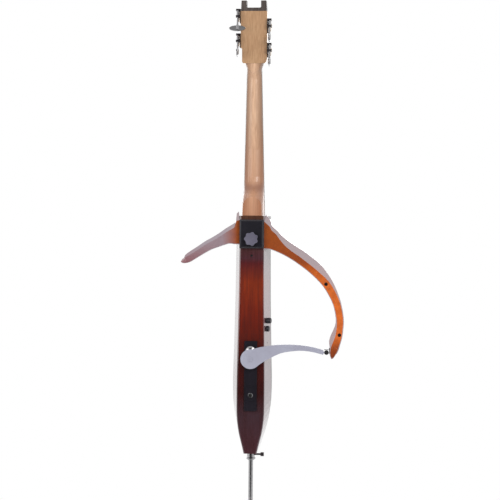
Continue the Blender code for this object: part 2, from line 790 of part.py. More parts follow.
def make_bridge():
    """The bridge stands on two feet, each on a pickup, with a height wheel between."""
    pickup_face = TOP_FACE_Y - GAP
    foot_base = pickup_face - PICKUP_THICKNESS - GAP
    foot_top = foot_base - BRIDGE_FOOT_SIZE[1]
    wheel_base = foot_top - GAP
    wheel_top = wheel_base - WHEEL_THICKNESS
    leg_base = wheel_top - GAP
    half_x, half_z = BRIDGE_FOOT_SIZE[0] / 2, BRIDGE_FOOT_SIZE[2] / 2
    bore = STEM_RADIUS + RUNNING

    leg_height = -leg_base
    crown = -BRIDGE_CROWN_Y
    outer = FOOT_SPREAD / 2 + 0.011
    inner = FOOT_SPREAD / 2 - 0.012
    top_edge = [
        (x, crown - sag(BRIDGE_ARCH, x), 0)
        for x in spread(BRIDGE_HALF_WIDTH, -BRIDGE_HALF_WIDTH, 12)
    ]
    shoulder = crown - sag(BRIDGE_ARCH, BRIDGE_HALF_WIDTH)
    waist = mix(leg_height, shoulder, 0.45)
    corners = [
        (inner, leg_height, 0.001),
        (outer, leg_height, 0.002),
        (outer, leg_height + 0.012, 0.004),
        (BRIDGE_HALF_WIDTH - 0.005, waist, 0.006),
        *top_edge,
        (-BRIDGE_HALF_WIDTH + 0.005, waist, 0.006),
        (-outer, leg_height + 0.012, 0.004),
        (-outer, leg_height, 0.002),
        (-inner, leg_height, 0.001),
        (-inner + 0.004, leg_height + 0.014, 0.006),
        (inner - 0.004, leg_height + 0.014, 0.006),
    ]
    heart = mix(leg_height, crown, 0.62)
    hole = [
        (0.009 * math.cos(turn), heart + 0.007 * math.sin(turn))
        for turn in spread(0, 2 * math.pi, 16)[:-1]
    ]
    # The outline's height is a distance in front of the body, so it is mirrored into -Y.
    outline = [(x, -height) for x, height in rounded(corners)]
    window = [(x, -height) for x, height in hole]
    bridge = piece(
        "bridge",
        flat([outline, window], BRIDGE_THICKNESS),
        "bridge_wood",
        (0, 0, BRIDGE_Z),
    )
    drop = (BRIDGE_THICKNESS - BRIDGE_TOP_THICKNESS) / (crown - leg_height)
    slice_box = tool(
        "bridge_slope",
        box((-0.1, -0.2, 0), (0.1, 0.1, 0.05)),
        (0, leg_base, BRIDGE_Z + BRIDGE_THICKNESS / 2),
        (math.atan(drop), 0, 0),
    )
    cut(bridge, slice_box)

    for side, name in ((1, "treble"), (-1, "bass")):
        x = side * FOOT_SPREAD / 2
        piece(
            f"pickup_{name}",
            box(
                (x - half_x, pickup_face - PICKUP_THICKNESS, BRIDGE_Z - half_z),
                (x + half_x, pickup_face, BRIDGE_Z + half_z),
            ),
            "brass_metal",
        )
        foot = piece(
            f"bridge_foot_{name}",
            box((x - half_x, foot_top, BRIDGE_Z - half_z), (x + half_x, foot_base, BRIDGE_Z + half_z)),
            "bridge_wood",
        )
        bevel(foot, 0.002, 2)
        stem_low = wheel_base + STEM_REACH
        stem_high = wheel_top - STEM_REACH
        wheel = piece(
            f"bridge_wheel_{name}",
            rod((0, 0, 0), (0, -WHEEL_THICKNESS, 0), WHEEL_RADIUS, 20),
            "brass_metal",
            (x, wheel_base, BRIDGE_Z),
        )
        stem = tool(
            f"wheel_stem_{name}",
            rod((x, stem_low, BRIDGE_Z), (x, stem_high, BRIDGE_Z), STEM_RADIUS, 16),
        )
        join(wheel, stem)
        stem_bore = tool(
            f"wheel_bore_{name}",
            rod((x, stem_low + GAP, BRIDGE_Z), (x, stem_high - GAP, BRIDGE_Z), bore, 16),
        )
        cut(foot, stem_bore)
        cut(bridge, stem_bore)


def tailpiece_point(x, along, front=0.0):
    """A point on the tailpiece's middle plane, measured up from its lower end."""
    y, z = TAILPIECE_FOOT
    up = Vector((0, -math.sin(TAILPIECE_LEAN), math.cos(TAILPIECE_LEAN)))
    ahead = Vector((0, -math.cos(TAILPIECE_LEAN), -math.sin(TAILPIECE_LEAN)))
    return Vector((x, y, BODY_Z + z)) + up * along + ahead * front


def make_tailpiece():
    wide, narrow = TAILPIECE_WIDE / 2, TAILPIECE_NARROW / 2
    corners = (
        (narrow, 0, 0.003),
        (wide, TAILPIECE_LENGTH, 0.004),
        (-wide, TAILPIECE_LENGTH, 0.004),
        (-narrow, 0, 0.003),
    )
    tailpiece = piece(
        "tailpiece",
        flat([rounded(corners)], TAILPIECE_THICKNESS),
        "ebony",
        tailpiece_point(0, 0),
        (math.pi / 2 + TAILPIECE_LEAN, 0, 0),
    )
    bevel(tailpiece, 0.002, 2, 50)
    across = 0.008
    reach = narrow + 0.004
    channel = tool(
        "tail_wire_channel",
        rod(
            tailpiece_point(-2 * reach, across),
            tailpiece_point(2 * reach, across),
            TAIL_WIRE_RADIUS + RUNNING,
            12,
        ),
    )
    cut(tailpiece, channel)
    return across, reach


def make_tail_wire(shell, end_block, across, reach):
    """The wire goes from a hole in the body's lower end, over the saddle, through the
    tailpiece and back again."""
    side = 0.010
    inner_y = BODY_FRONT_Y + 0.013
    below = BODY_Z - TAIL_WIRE_RADIUS - GAP
    ahead = TOP_FACE_Y - GAP - SADDLE_SIZE[1] - TAIL_WIRE_RADIUS - GAP
    over = BODY_Z + SADDLE_SIZE[2] * 0.6
    inside = BODY_Z + 0.014
    half = [
        Vector((side, inner_y, inside)),
        Vector((side, inner_y, below)),
        Vector((side, ahead + 0.001, below)),
        Vector((side, ahead, over)),
        tailpiece_point(reach, across),
    ]
    other = [Vector((-x, y, z)) for x, y, z in half]
    tube("tail_wire", half + other[::-1], TAIL_WIRE_RADIUS, "string_steel", 1)
    for sign in (1, -1):
        hole = tool(
            f"tail_wire_hole_{sign}",
            rod(
                (sign * side, inner_y, BODY_Z - 0.002),
                (sign * side, inner_y, inside + GAP),
                TAIL_WIRE_RADIUS + RUNNING,
                12,
            ),
        )
        cut(shell, hole)
        cut(end_block, hole)


def make_strings(head):
    """Each string runs from the tailpiece over the bridge and the nut to its post."""
    for index, (name, _, height, radius, _) in enumerate(TUNERS):
        tail_x = string_place(index, TAIL_SPREAD)
        bridge_x = string_place(index, BRIDGE_SPREAD)
        nut_x = string_place(index, NUT_SPREAD)
        post_x = string_place(index, POST_SPREAD)
        bridge_y = BRIDGE_CROWN_Y + sag(BRIDGE_ARCH, bridge_x) - radius - GAP
        nut_y = NUT_CROWN_Y + sag(FINGERBOARD_ARCH, nut_x) - radius - GAP
        post = Vector((post_x, -POST_BEHIND - POST_RADIUS - radius - SOCKET_CLEARANCE, height))
        route = [
            tailpiece_point(tail_x, TAILPIECE_LENGTH + radius + SOCKET_CLEARANCE),
            Vector((bridge_x, bridge_y, BRIDGE_Z - BRIDGE_THICKNESS / 2)),
            Vector((bridge_x, bridge_y, BRIDGE_Z)),
            Vector((nut_x, nut_y, NUT_Z)),
            Vector((nut_x, nut_y, NUT_Z + NUT_THICKNESS)),
            head.matrix_world @ post,
        ]
        tube(f"string_{name}", route, radius, "string_steel", 1)


# Neck

def neck_rows():
    """Height, depth position of the neck's back, squareness of its section, half width."""
    scoop = BODY_TOP_Z + HEEL_FACE_HEIGHT
    back = BODY_BACK_Y
    rows = [
        (BODY_TOP_Z + GAP, back + 0.026, 6.0),
        (scoop - 0.022, back + 0.022, 6.0),
        (scoop, back, 5.0),
        (scoop + 0.35 * HEEL_SCOOP, back - 0.030, 3.6),
        (scoop + 0.70 * HEEL_SCOOP, back - 0.049, 2.6),
    ]
    rows = [(z, y, square, fingerboard_half_width(z)) for z, y, square in rows]
    for z in (scoop + 1.1 * HEEL_SCOOP, NUT_Z - 0.17, NUT_Z - 0.05, NUT_Z - 0.033):
        rows.append((z, fingerboard_under(z) + NECK_DEPTH, 2.2, fingerboard_half_width(z)))
    for above, deeper, wider in (
        (-0.017, 0.0058, 0.0),
        (-0.003, 0.0200, 0.0012),
        (HEAD_ABOVE_NUT, 0.0265, 0.0060),
        (HEAD_ABOVE_NUT + 0.008, 0.0300, 0.0080),
    ):
        z = NUT_Z + above
        half = fingerboard_half_width(z) + wider
        rows.append((z, fingerboard_under(z) + NECK_DEPTH + deeper, 2.2, half))
    return rows


def neck_ring(z, back_y, square, half):
    """A section with a flat front and a round back, squarer near the heel."""
    half -= NECK_INSET
    front_y = fingerboard_under(z) + GAP
    depth = back_y - front_y
    ring = []
    for turn in spread(0, math.pi, 14):
        share = math.sin(turn) ** (2 / square) if 0 < turn < math.pi else 0.0
        ring.append((half * math.cos(turn), front_y + depth * share, z))
    return ring


def make_neck(head, shell, neck_block):
    rows = neck_rows()
    levels = []
    for lower, upper in zip(rows, rows[1:]):
        pieces = 3 if upper[0] - lower[0] < 0.03 else 2
        levels += spread(lower[0], upper[0], pieces)[:-1]
    levels.append(rows[-1][0])
    neck = piece("neck", loft([neck_ring(z, *read_table(rows, z)) for z in levels]), "maple")
    heel_face = tool(
        "heel_face",
        box(
            (-0.06, BODY_BACK_Y, BODY_TOP_Z - 0.02),
            (0.06, BODY_BACK_Y + 0.08, BODY_TOP_Z + HEEL_FACE_HEIGHT + 0.03),
        ),
    )
    head_back = tool("head_back", box((-0.06, 0, -0.06), (0.06, 0.08, 0.05)), parent=head)
    head_joint = tool("head_joint", box((-0.06, -0.08, -GAP), (0.06, 0.08, 0.05)), parent=head)
    cut(neck, heel_face, head_back, head_joint)

    def tenon_box(clearance, top):
        return box(
            (-TENON_WIDTH / 2 - clearance, -TENON_DEPTH / 2 - clearance,
             BODY_TOP_Z - TENON_LENGTH - clearance),
            (TENON_WIDTH / 2 + clearance, TENON_DEPTH / 2 + clearance, BODY_TOP_Z + top),
        )

    join(neck, tool("tenon", tenon_box(0, 0.012)))
    mortise = tool("mortise", tenon_box(SOCKET_CLEARANCE, 0.004))
    cut(shell, mortise)
    cut(neck_block, mortise)


# Head

def make_head_frame():
    """The pegbox and all on it sit in a frame that leans back from the neck."""
    head = bpy.data.objects.new("head_frame", None)
    collection("electric_double_bass").objects.link(head)
    place(head, (0, HEAD_BACK_Y, HEAD_Z), (-HEAD_TILT, 0, 0))
    bpy.context.view_layer.update()
    return head


def make_pegbox(head):
    corner = HEAD_CORNER_RADIUS
    outline = rounded(
        (
            (HEAD_WAIST_HALF_WIDTH, 0, corner),
            (HEAD_WAIST_HALF_WIDTH, HEAD_WAIST_HEIGHT, 0.002),
            (HEAD_HALF_WIDTH, HEAD_WAIST_HEIGHT + 0.003, 0.002),
            (HEAD_HALF_WIDTH, HEAD_LENGTH, 0),
            (-HEAD_HALF_WIDTH, HEAD_LENGTH, 0),
            (-HEAD_HALF_WIDTH, 0.012, corner),
            (-HEAD_WAIST_HALF_WIDTH + 0.002, 0, corner),
        )
    )
    pegbox = piece(
        "pegbox",
        flat([outline], HEAD_DEPTH),
        "maple",
        (0, -HEAD_DEPTH / 2, 0),
        (math.pi / 2, 0, 0),
        head,
    )
    cavity = tool(
        "pegbox_cavity",
        box(
            (-PEGBOX_HALF_WIDTH, -HEAD_DEPTH - 0.005, PEGBOX_LOW),
            (PEGBOX_HALF_WIDTH, -PEGBOX_FLOOR, PEGBOX_HIGH),
        ),
        parent=head,
    )
    cut(pegbox, cavity)
    return pegbox


def make_fork(head):
    low = HEAD_LENGTH + GAP
    floor = low + FORK_BASE
    high = low + FORK_HEIGHT
    corners = (
        (FORK_HALF_WIDTH, low, 0),
        (FORK_TOP_HALF_WIDTH, high, 0.001),
        (FORK_GAP_HALF_WIDTH, high, 0.001),
        (FORK_GAP_HALF_WIDTH, floor, 0.004),
        (-FORK_GAP_HALF_WIDTH, floor, 0.004),
        (-FORK_GAP_HALF_WIDTH, high, 0.001),
        (-FORK_TOP_HALF_WIDTH, high, 0.001),
        (-FORK_HALF_WIDTH, low, 0),
    )
    piece(
        "head_fork",
        flat([rounded(corners)], HEAD_DEPTH),
        "dark_crest",
        (0, -HEAD_DEPTH / 2, 0),
        (math.pi / 2, 0, 0),
        head,
    )


def make_tuner(head, pegbox, name, side, height, key_turn):
    """One machine head: a side plate with two lugs, a gear on its post, a worm on its key."""
    centre = Vector((side * GEAR_OFFSET, -POST_BEHIND, height))
    seat = HEAD_HALF_WIDTH + SOCKET_CLEARANCE - GEAR_OFFSET
    plate_face = seat + PLATE_THICKNESS
    gear_inner = -GEAR_THICKNESS / 2
    gear_outer = GEAR_THICKNESS / 2
    lean = Matrix.Rotation(WORM_LEAN, 4, "X")

    def at(x, radial=0.0, up=0.0):
        """A point beside the gear's centre, along and across the worm."""
        spot = lean @ Vector((0, radial, up))
        return Vector((side * x, spot.y, spot.z))

    lug_low = WORM_HALF_LENGTH + 0.0005
    lug_high = lug_low + LUG_THICKNESS
    lug_edge = WORM_DISTANCE + LUG_REACH
    upper = at(0, lug_edge, lug_high)
    lower = at(0, lug_edge, -lug_high)
    outline = rounded(
        (
            (-0.013, -0.022, 0.004),
            (0.012, -0.022, 0.004),
            (lower.y, lower.z, 0.002),
            (upper.y, upper.z, 0.002),
            (-0.013, 0.022, 0.004),
        ),
        2,
    )
    # The plate's outline is in Y and Z, so the flat shape is turned to face along X.
    facing = (math.pi / 2, 0, math.pi / 2)
    middle = centre + Vector((side * (seat + PLATE_THICKNESS / 2), 0, 0))
    plate = piece(
        f"tuner_plate_{name}", flat([outline], PLATE_THICKNESS), "dark_steel", middle, facing, head
    )
    lug_outer = gear_outer + 0.003
    for label, low, high in (("upper", lug_low, lug_high), ("lower", -lug_high, -lug_low)):
        middle_x = (seat + 0.001 + lug_outer) / 2
        half_x = (lug_outer - seat - 0.001) / 2
        lug = tool(
            f"tuner_lug_{name}_{label}",
            box((-half_x, -LUG_REACH, low), (half_x, LUG_REACH, high)),
            centre + at(middle_x, WORM_DISTANCE),
            (WORM_LEAN, 0, 0),
            head,
        )
        join(plate, lug)
    shaft_bore = tool(
        f"tuner_shaft_bore_{name}",
        rod((0, 0, -0.02), (0, 0, 0.02), SHAFT_RADIUS + RUNNING, 12),
        centre + at(0, WORM_DISTANCE),
        (WORM_LEAN, 0, 0),
        head,
    )
    post_bore = tool(
        f"tuner_post_bore_{name}",
        rod((side * -0.02, 0, 0), (side * 0.002, 0, 0), POST_RADIUS + RUNNING, 20),
        centre,
        parent=head,
    )
    cut(plate, shaft_bore, post_bore)

    far = -GEAR_OFFSET - PEGBOX_HALF_WIDTH - POST_REACH
    wall_bore = tool(
        f"tuner_wall_bore_{name}",
        rod((side * (far - GAP), 0, 0), (side * 0.002, 0, 0), POST_RADIUS + RUNNING, 20),
        centre,
        parent=head,
    )
    cut(pegbox, wall_bore)

    gear = piece(
        f"tuner_gear_{name}",
        rod((side * gear_inner, 0, 0), (side * gear_outer, 0, 0), GEAR_RADIUS, 24),
        "brass_metal",
        centre,
        parent=head,
    )
    hub = tool(
        f"gear_hub_{name}",
        rod((side * (plate_face + RUNNING), 0, 0), (side * (gear_outer + 0.0025), 0, 0), 0.006, 16),
        centre,
        parent=head,
    )
    post = tool(
        f"string_post_{name}",
        rod((side * far, 0, 0), (side * gear_outer, 0, 0), POST_RADIUS, 16),
        centre,
        parent=head,
    )
    join(gear, hub, post)

    worm_place = centre + at(0, WORM_DISTANCE)
    facing = Matrix.Rotation(WORM_LEAN, 4, "X") @ Matrix.Rotation(key_turn, 4, "Z")
    turn = facing.to_euler()
    key = piece(
        f"tuner_key_{name}",
        rod((0, 0, -WORM_HALF_LENGTH), (0, 0, WORM_HALF_LENGTH), WORM_RADIUS, 12),
        "chrome",
        worm_place,
        turn,
        head,
    )
    shaft = tool(
        f"key_shaft_{name}",
        rod((0, 0, -KEY_DROP), (0, 0, lug_high + 0.001), SHAFT_RADIUS, 12),
        worm_place,
        turn,
        head,
    )
    boss = tool(
        f"key_boss_{name}",
        rod((0, 0, -KEY_DROP - 0.005), (0, 0, -KEY_DROP + 0.011), 0.0042, 12),
        worm_place,
        turn,
        head,
    )
    wing_outline = [
        (KEY_HALF_WIDTH * math.cos(a), KEY_HALF_HEIGHT * math.sin(a))
        for a in spread(0, 2 * math.pi, 20)[:-1]
    ]
    blade_turn = (facing @ Matrix.Rotation(math.pi / 2, 4, "Y") @ Matrix.Rotation(math.pi / 2, 4, "Z"))
    blade = tool(
        f"key_blade_{name}",
        flat([wing_outline], KEY_THICKNESS),
        worm_place + (facing @ Vector((0, 0, -KEY_DROP))),
        blade_turn.to_euler(),
        head,
    )
    join(key, shaft, boss, blade)


# Endpin

def make_endpin(shell, end_block):
    collar_top = BODY_Z - GAP
    collar_low = collar_top - COLLAR_LENGTH
    flange_low = collar_low - FLANGE_LENGTH
    tube_top = BODY_Z + SOCKET_LENGTH
    bore = ROD_RADIUS + RUNNING
    socket = turned_piece(
        "endpin_socket",
        [
            (bore, tube_top),
            (SOCKET_TUBE_RADIUS, tube_top),
            (SOCKET_TUBE_RADIUS, collar_top),
            (COLLAR_RADIUS, collar_top),
            (COLLAR_RADIUS, collar_low),
            (FLANGE_RADIUS, collar_low - 0.001),
            (FLANGE_RADIUS, collar_low - 0.0045),
            (bore + 0.0025, flange_low),
            (bore, flange_low),
        ],
        "chrome",
    )
    seat = tool(
        "socket_seat",
        rod((0, 0, BODY_Z - 0.002), (0, 0, tube_top + 0.01), SOCKET_TUBE_RADIUS + GAP, 24),
    )
    cut(shell, seat)
    cut(end_block, seat)

    rod_low = FOOT_LENGTH * 0.25
    piece(
        "endpin_rod",
        rod((0, 0, rod_low + GAP), (0, 0, BODY_Z + ROD_INSIDE), ROD_RADIUS, 24),
        "chrome",
    )
    foot_bore = ROD_RADIUS + GAP
    turned_piece(
        "endpin_foot",
        [
            (foot_bore, FOOT_LENGTH),
            (FOOT_RADIUS * 0.75, FOOT_LENGTH),
            (FOOT_RADIUS * 0.85, FOOT_LENGTH * 0.8),
            (FOOT_RADIUS, 0.012),
            (FOOT_RADIUS, 0.003),
            (FOOT_RADIUS * 0.85, 0),
            (0, 0),
        ]
        + [(0, rod_low), (foot_bore, rod_low)],
        "black_rubber",
    )

    screw_z = BODY_Z - THUMB_SCREW_DROP
    tip = -ROD_RADIUS - RUNNING
    screw = piece(
        "endpin_screw",
        rod((tip, 0, 0), (-THUMB_SCREW_REACH + 0.002, 0, 0), THUMB_SCREW_RADIUS, 16),
        "dark_steel",
        (0, 0, screw_z),
    )
    thumb_head = tool(
        "endpin_screw_head",
        rod(
            (-THUMB_SCREW_REACH, 0, screw_z),
            (-THUMB_SCREW_REACH + THUMB_HEAD_LENGTH, 0, screw_z),
            THUMB_HEAD_RADIUS,
            16,
        ),
    )
    join(screw, thumb_head)
    screw_bore = tool(
        "endpin_screw_bore",
        rod((0, 0, screw_z), (-0.03, 0, screw_z), THUMB_SCREW_RADIUS + RUNNING, 16),
    )
    cut(socket, screw_bore)


# Clamp block and star knob

def make_yoke(shell, neck_block):
    low = BODY_BACK_Y + GAP
    yoke = piece(
        "clamp_block",
        box(
            (-YOKE_WIDTH / 2, low, YOKE_TOP_Z - YOKE_HEIGHT),
            (YOKE_WIDTH / 2, YOKE_BACK_Y, YOKE_TOP_Z),
        ),
        "black_plate",
    )
    chamfer = yoke.modifiers.new("bevelled rim", "BEVEL")
    chamfer.width = YOKE_BEVEL
    chamfer.segments = 1
    chamfer.limit_method = "VGROUP"
    rim = yoke.vertex_groups.new(name="rim")
    rim.add([v.index for v in yoke.data.vertices if v.co.y > YOKE_BACK_Y - 0.001], 1, "REPLACE")
    chamfer.vertex_group = "rim"

    star = [
        (
            (STAR_RADIUS - STAR_LOBE_DEPTH * (1 - math.cos(STAR_LOBES * turn)) / 2) * math.cos(turn),
            (STAR_RADIUS - STAR_LOBE_DEPTH * (1 - math.cos(STAR_LOBES * turn)) / 2) * math.sin(turn),
        )
        for turn in spread(0, 2 * math.pi, STAR_LOBES * 6)[:-1]
    ]
    knob_middle = YOKE_BACK_Y + STAR_STAND_OFF + STAR_THICKNESS / 2
    knob = piece(
        "star_knob",
        flat([star], STAR_THICKNESS),
        "star_knob_grey",
        (0, knob_middle, STAR_Z),
        (math.pi / 2, 0, 0),
    )
    bevel(knob, 0.0015, 1, 60)
    collar = tool(
        "star_knob_collar",
        rod((0, YOKE_BACK_Y + GAP, STAR_Z), (0, knob_middle, STAR_Z), 0.011, 20),
    )
    tip = BODY_BACK_Y - CLAMP_SCREW_REACH
    screw = tool(
        "clamp_screw",
        rod((0, tip, STAR_Z), (0, knob_middle, STAR_Z), CLAMP_SCREW_RADIUS, 16),
    )
    join(knob, collar, screw)
    bore = tool(
        "clamp_screw_bore",
        rod((0, tip - GAP, STAR_Z), (0, YOKE_BACK_Y + 0.002, STAR_Z), CLAMP_SCREW_RADIUS + RUNNING, 16),
    )
    cut(yoke, bore)
    cut(shell, bore)
    cut(neck_block, bore)


# Shoulder frames

def frame_ring(rows, at):
    """One section of a frame: a flat back face, a bevel each side of it and a flat front."""
    table = [(index, *row) for index, row in enumerate(rows)]
    x, height, back, outer, inner, back_y, depth = read_table(table, at)
    step = 0.2
    before = read_table(table, at - step)
    after = read_table(table, at + step)
    along = Vector((after[0] - before[0], after[1] - before[1])).normalized()
    side = 1 if rows[-1][0] > 0 else -1
    out = Vector((-along.y, along.x)) * side
    front_y = back_y - depth
    edge = FRAME_FRONT_BEVEL * min(1, depth / 0.04)
    section = (
        (-inner + edge, front_y),
        (-inner, front_y + edge),
        (-inner, back_y - inner * FRAME_BEVEL_SLOPE),
        (0, back_y),
        (back, back_y),
        (back + outer, back_y - outer * FRAME_BEVEL_SLOPE),
        (back + outer, front_y + edge),
        (back + outer - edge, front_y),
    )
    return [
        (x + out.x * across, y, BODY_Z + height + out.y * across)
        for across, y in section
    ]


def frame_solid(rows):
    last = len(rows) - 1
    return loft([frame_ring(rows, at) for at in spread(0, last, last * 2)])


def make_frames(shell, neck_block):
    around = tool(
        "frame_root_cut",
        loft(
            [
                body_ring(height, -FRAME_BODY_GAP, BODY_FRONT_Y - 0.03, BODY_BACK_Y, 0, BODY_Z + z)
                for height, z in (
                    (BODY_LENGTH - 0.13, BODY_LENGTH - 0.13),
                    (BODY_LENGTH - 0.06, BODY_LENGTH - 0.06),
                    (BODY_LENGTH, BODY_LENGTH),
                    (BODY_LENGTH, BODY_LENGTH + 0.05),
                )
            ]
        ),
    )
    for name, rows, side, material in (
        ("treble_wing", WING_ROWS, 1, "orange_lacquer"),
        ("bass_frame", BASS_FRAME_ROWS, -1, "orange_lacquer"),
    ):
        frame = piece(name, frame_solid(rows), material)
        cut(frame, around)
        top = BODY_TOP_Z - TONGUE_DROP
        outer_x = body_half_width(BODY_LENGTH - TONGUE_DROP, BODY_FRONT_Y) + 0.002

        def tongue_box(clearance, x_end):
            xs = sorted((side * (TONGUE_REACH - clearance), side * x_end))
            return box(
                (xs[0], -0.002 - clearance, top - TONGUE_HEIGHT - clearance),
                (xs[1], -0.002 + TONGUE_DEPTH + clearance, top + clearance),
            )

        join(frame, tool(f"{name}_tongue", tongue_box(0, outer_x)))
        pocket = tool(f"{name}_pocket", tongue_box(SOCKET_CLEARANCE, outer_x + 0.01))
        cut(shell, pocket)
        cut(neck_block, pocket)
    return bpy.data.objects["bass_frame"]


def frame_back_at(height, rows):
    """Depth position of a frame's back face where its inner edge is at a height."""
    falling = sorted((row[1], row[5]) for row in rows if row[0] < -0.2)
    return float(np.interp(height, [row[0] for row in falling], [row[1] for row in falling]))


def make_frame_screws(frame):
    for name, x, height in FRAME_SCREWS:
        face = frame_back_at(height, BASS_FRAME_ROWS)
        head_y = face - FRAME_SCREW_SUNK
        seat_y = head_y - FRAME_SCREW_HEAD
        z = BODY_Z + height
        screw = piece(
            name,
            rod((0, -FRAME_SCREW_HEAD, 0), (0, 0, 0), FRAME_SCREW_RADIUS, 20),
            "dark_steel",
            (x, head_y, z),
        )
        shank = tool(
            f"{name}_shank",
            rod((x, seat_y - FRAME_SCREW_LENGTH, z), (x, head_y - 0.001, z), FRAME_SCREW_SHANK, 12),
        )
        join(screw, shank)
        socket = tool(
            f"{name}_socket",
            rod((x, head_y - 0.0012, z), (x, head_y + 0.001, z), FRAME_SCREW_RADIUS * 0.45, 6),
        )
        cut(screw, socket)
        recess = tool(
            f"{name}_recess",
            rod((x, seat_y - GAP, z), (x, face + 0.006, z), FRAME_SCREW_RADIUS + GAP, 20),
        )
        bore = tool(
            f"{name}_bore",
            rod((x, seat_y - FRAME_SCREW_LENGTH - GAP, z), (x, seat_y, z), FRAME_SCREW_SHANK + GAP, 12),
        )
        cut(frame, recess, bore)


def make_clip():
    """A hook on the frame's lower end that rests on the ball of the support arm."""
    ball_x = -BALL_REACH
    ball_z = ARM_Z + BALL_RISE
    wall = ball_x - BALL_RADIUS - CLIP_BALL_GAP
    lip = ball_z + BALL_RADIUS + CLIP_BALL_GAP
    low = ball_z - 0.004
    high = lip + 0.0065
    outline = [
        (wall, low),
        (wall, lip),
        (wall + CLIP_LIP_REACH, lip),
        (wall + CLIP_LIP_REACH, lip + CLIP_THICKNESS),
        (wall, lip + CLIP_THICKNESS),
        (wall, high),
        (wall - CLIP_THICKNESS, high),
        (wall - CLIP_THICKNESS, low),
    ]
    piece(
        "frame_clip",
        flat([outline], CLIP_WIDTH),
        "black_plastic",
        (0, ARM_BACK_Y - CLIP_WIDTH / 2, 0),
        (math.pi / 2, 0, 0),
    )


# Support arm

def arm_outline():
    """The arm at rest, as seen from the back, in X and Z about its pivot."""

    def edge(points, count):
        table = [(u, v) for u, v in points]
        return [(u, read_table(table, u)[0]) for u in spread(points[0][0], points[-1][0], count)]

    upper = edge(ARM_UPPER_EDGE, 14)
    lower = edge(ARM_LOWER_EDGE, 14)
    start = math.atan2(lower[0][1], lower[0][0])
    end = math.atan2(upper[0][1], upper[0][0])
    hub = [
        (ARM_HUB_RADIUS * math.cos(turn), ARM_HUB_RADIUS * math.sin(turn))
        for turn in spread(end + 0.25, start + 2 * math.pi, 18)
    ]
    around = hub + lower[1:] + upper[::-1][:-1]
    return [(-u, v) for u, v in around]


def make_arm(shell, panel):
    arm = piece(
        "support_arm",
        flat([arm_outline()], ARM_THICKNESS),
        "arm_grey",
        (0, ARM_FRONT_Y + ARM_THICKNESS / 2, ARM_Z),
        (math.pi / 2, 0, 0),
    )
    bevel(arm, ARM_EDGE_BEVEL, 2, 50)
    head_seat = ARM_BACK_Y - ARM_COUNTERBORE
    centre_y = ARM_FRONT_Y + ARM_THICKNESS / 2
    bore = tool(
        "arm_bore",
        rod((0, ARM_FRONT_Y - 0.002, ARM_Z), (0, ARM_BACK_Y, ARM_Z), BUSH_RADIUS + RUNNING, 24),
    )
    counterbore = tool(
        "arm_counterbore",
        rod((0, head_seat, ARM_Z), (0, ARM_BACK_Y + 0.002, ARM_Z), ARM_SCREW_HEAD_RADIUS + RUNNING, 24),
    )
    cut(arm, bore, counterbore)
    arm_end = -ARM_UPPER_EDGE[-1][0]
    ball_x, ball_z = -BALL_REACH, ARM_Z + BALL_RISE
    pin = tool(
        "ball_pin",
        rod((arm_end + 0.006, centre_y, ball_z), (ball_x, centre_y, ball_z), BALL_PIN_RADIUS, 12),
    )
    join(arm, pin)

    work = bmesh.new()
    bmesh.ops.create_uvsphere(work, u_segments=16, v_segments=10, radius=BALL_RADIUS)
    ball = piece("arm_ball", finished(work, smooth=True), "black_rubber", (ball_x, centre_y, ball_z))
    pin_bore = tool(
        "ball_bore",
        rod((ball_x - GAP, centre_y, ball_z), (arm_end, centre_y, ball_z), BALL_PIN_RADIUS + GAP, 12),
    )
    arm_face = tool(
        "ball_flat",
        box(
            (arm_end - GAP, centre_y - 0.02, ball_z - 0.02),
            (arm_end + 0.02, centre_y + 0.02, ball_z + 0.02),
        ),
    )
    cut(ball, pin_bore, arm_face)

    bush_top = head_seat - 0.0002
    shoulder_top = ARM_FRONT_Y - RUNNING
    base = PANEL_FACE_Y + GAP
    bush_bore = ARM_SCREW_RADIUS + GAP
    turned_piece(
        "arm_bush",
        [
            (bush_bore, bush_top - base),
            (BUSH_RADIUS, bush_top - base),
            (BUSH_RADIUS, shoulder_top - base),
            (BUSH_SHOULDER_RADIUS, shoulder_top - base),
            (BUSH_SHOULDER_RADIUS, 0),
            (bush_bore, 0),
        ],
        "chrome",
        (0, base, ARM_Z),
        (-math.pi / 2, 0, 0),
    )
    head_y = bush_top + GAP
    shank_end = INNER_BACK_Y - 0.003
    screw = piece(
        "arm_screw",
        rod((0, 0, 0), (0, ARM_SCREW_HEAD_THICKNESS, 0), ARM_SCREW_HEAD_RADIUS, 24),
        "arm_grey",
        (0, head_y, ARM_Z),
    )
    shank = tool(
        "arm_screw_shank",
        rod((0, shank_end, ARM_Z), (0, head_y + 0.001, ARM_Z), ARM_SCREW_RADIUS, 16),
    )
    key_face = head_y + ARM_SCREW_HEAD_THICKNESS
    socket = tool(
        "arm_screw_socket",
        rod((0, key_face - 0.0012, ARM_Z), (0, key_face + 0.002, ARM_Z), 0.0026, 6),
    )
    join(screw, shank)
    cut(screw, socket)
    through = tool(
        "arm_screw_bore",
        rod((0, shank_end - GAP, ARM_Z), (0, base + 0.002, ARM_Z), ARM_SCREW_RADIUS + GAP, 16),
    )
    cut(panel, through)
    cut(shell, through)


# Control strip

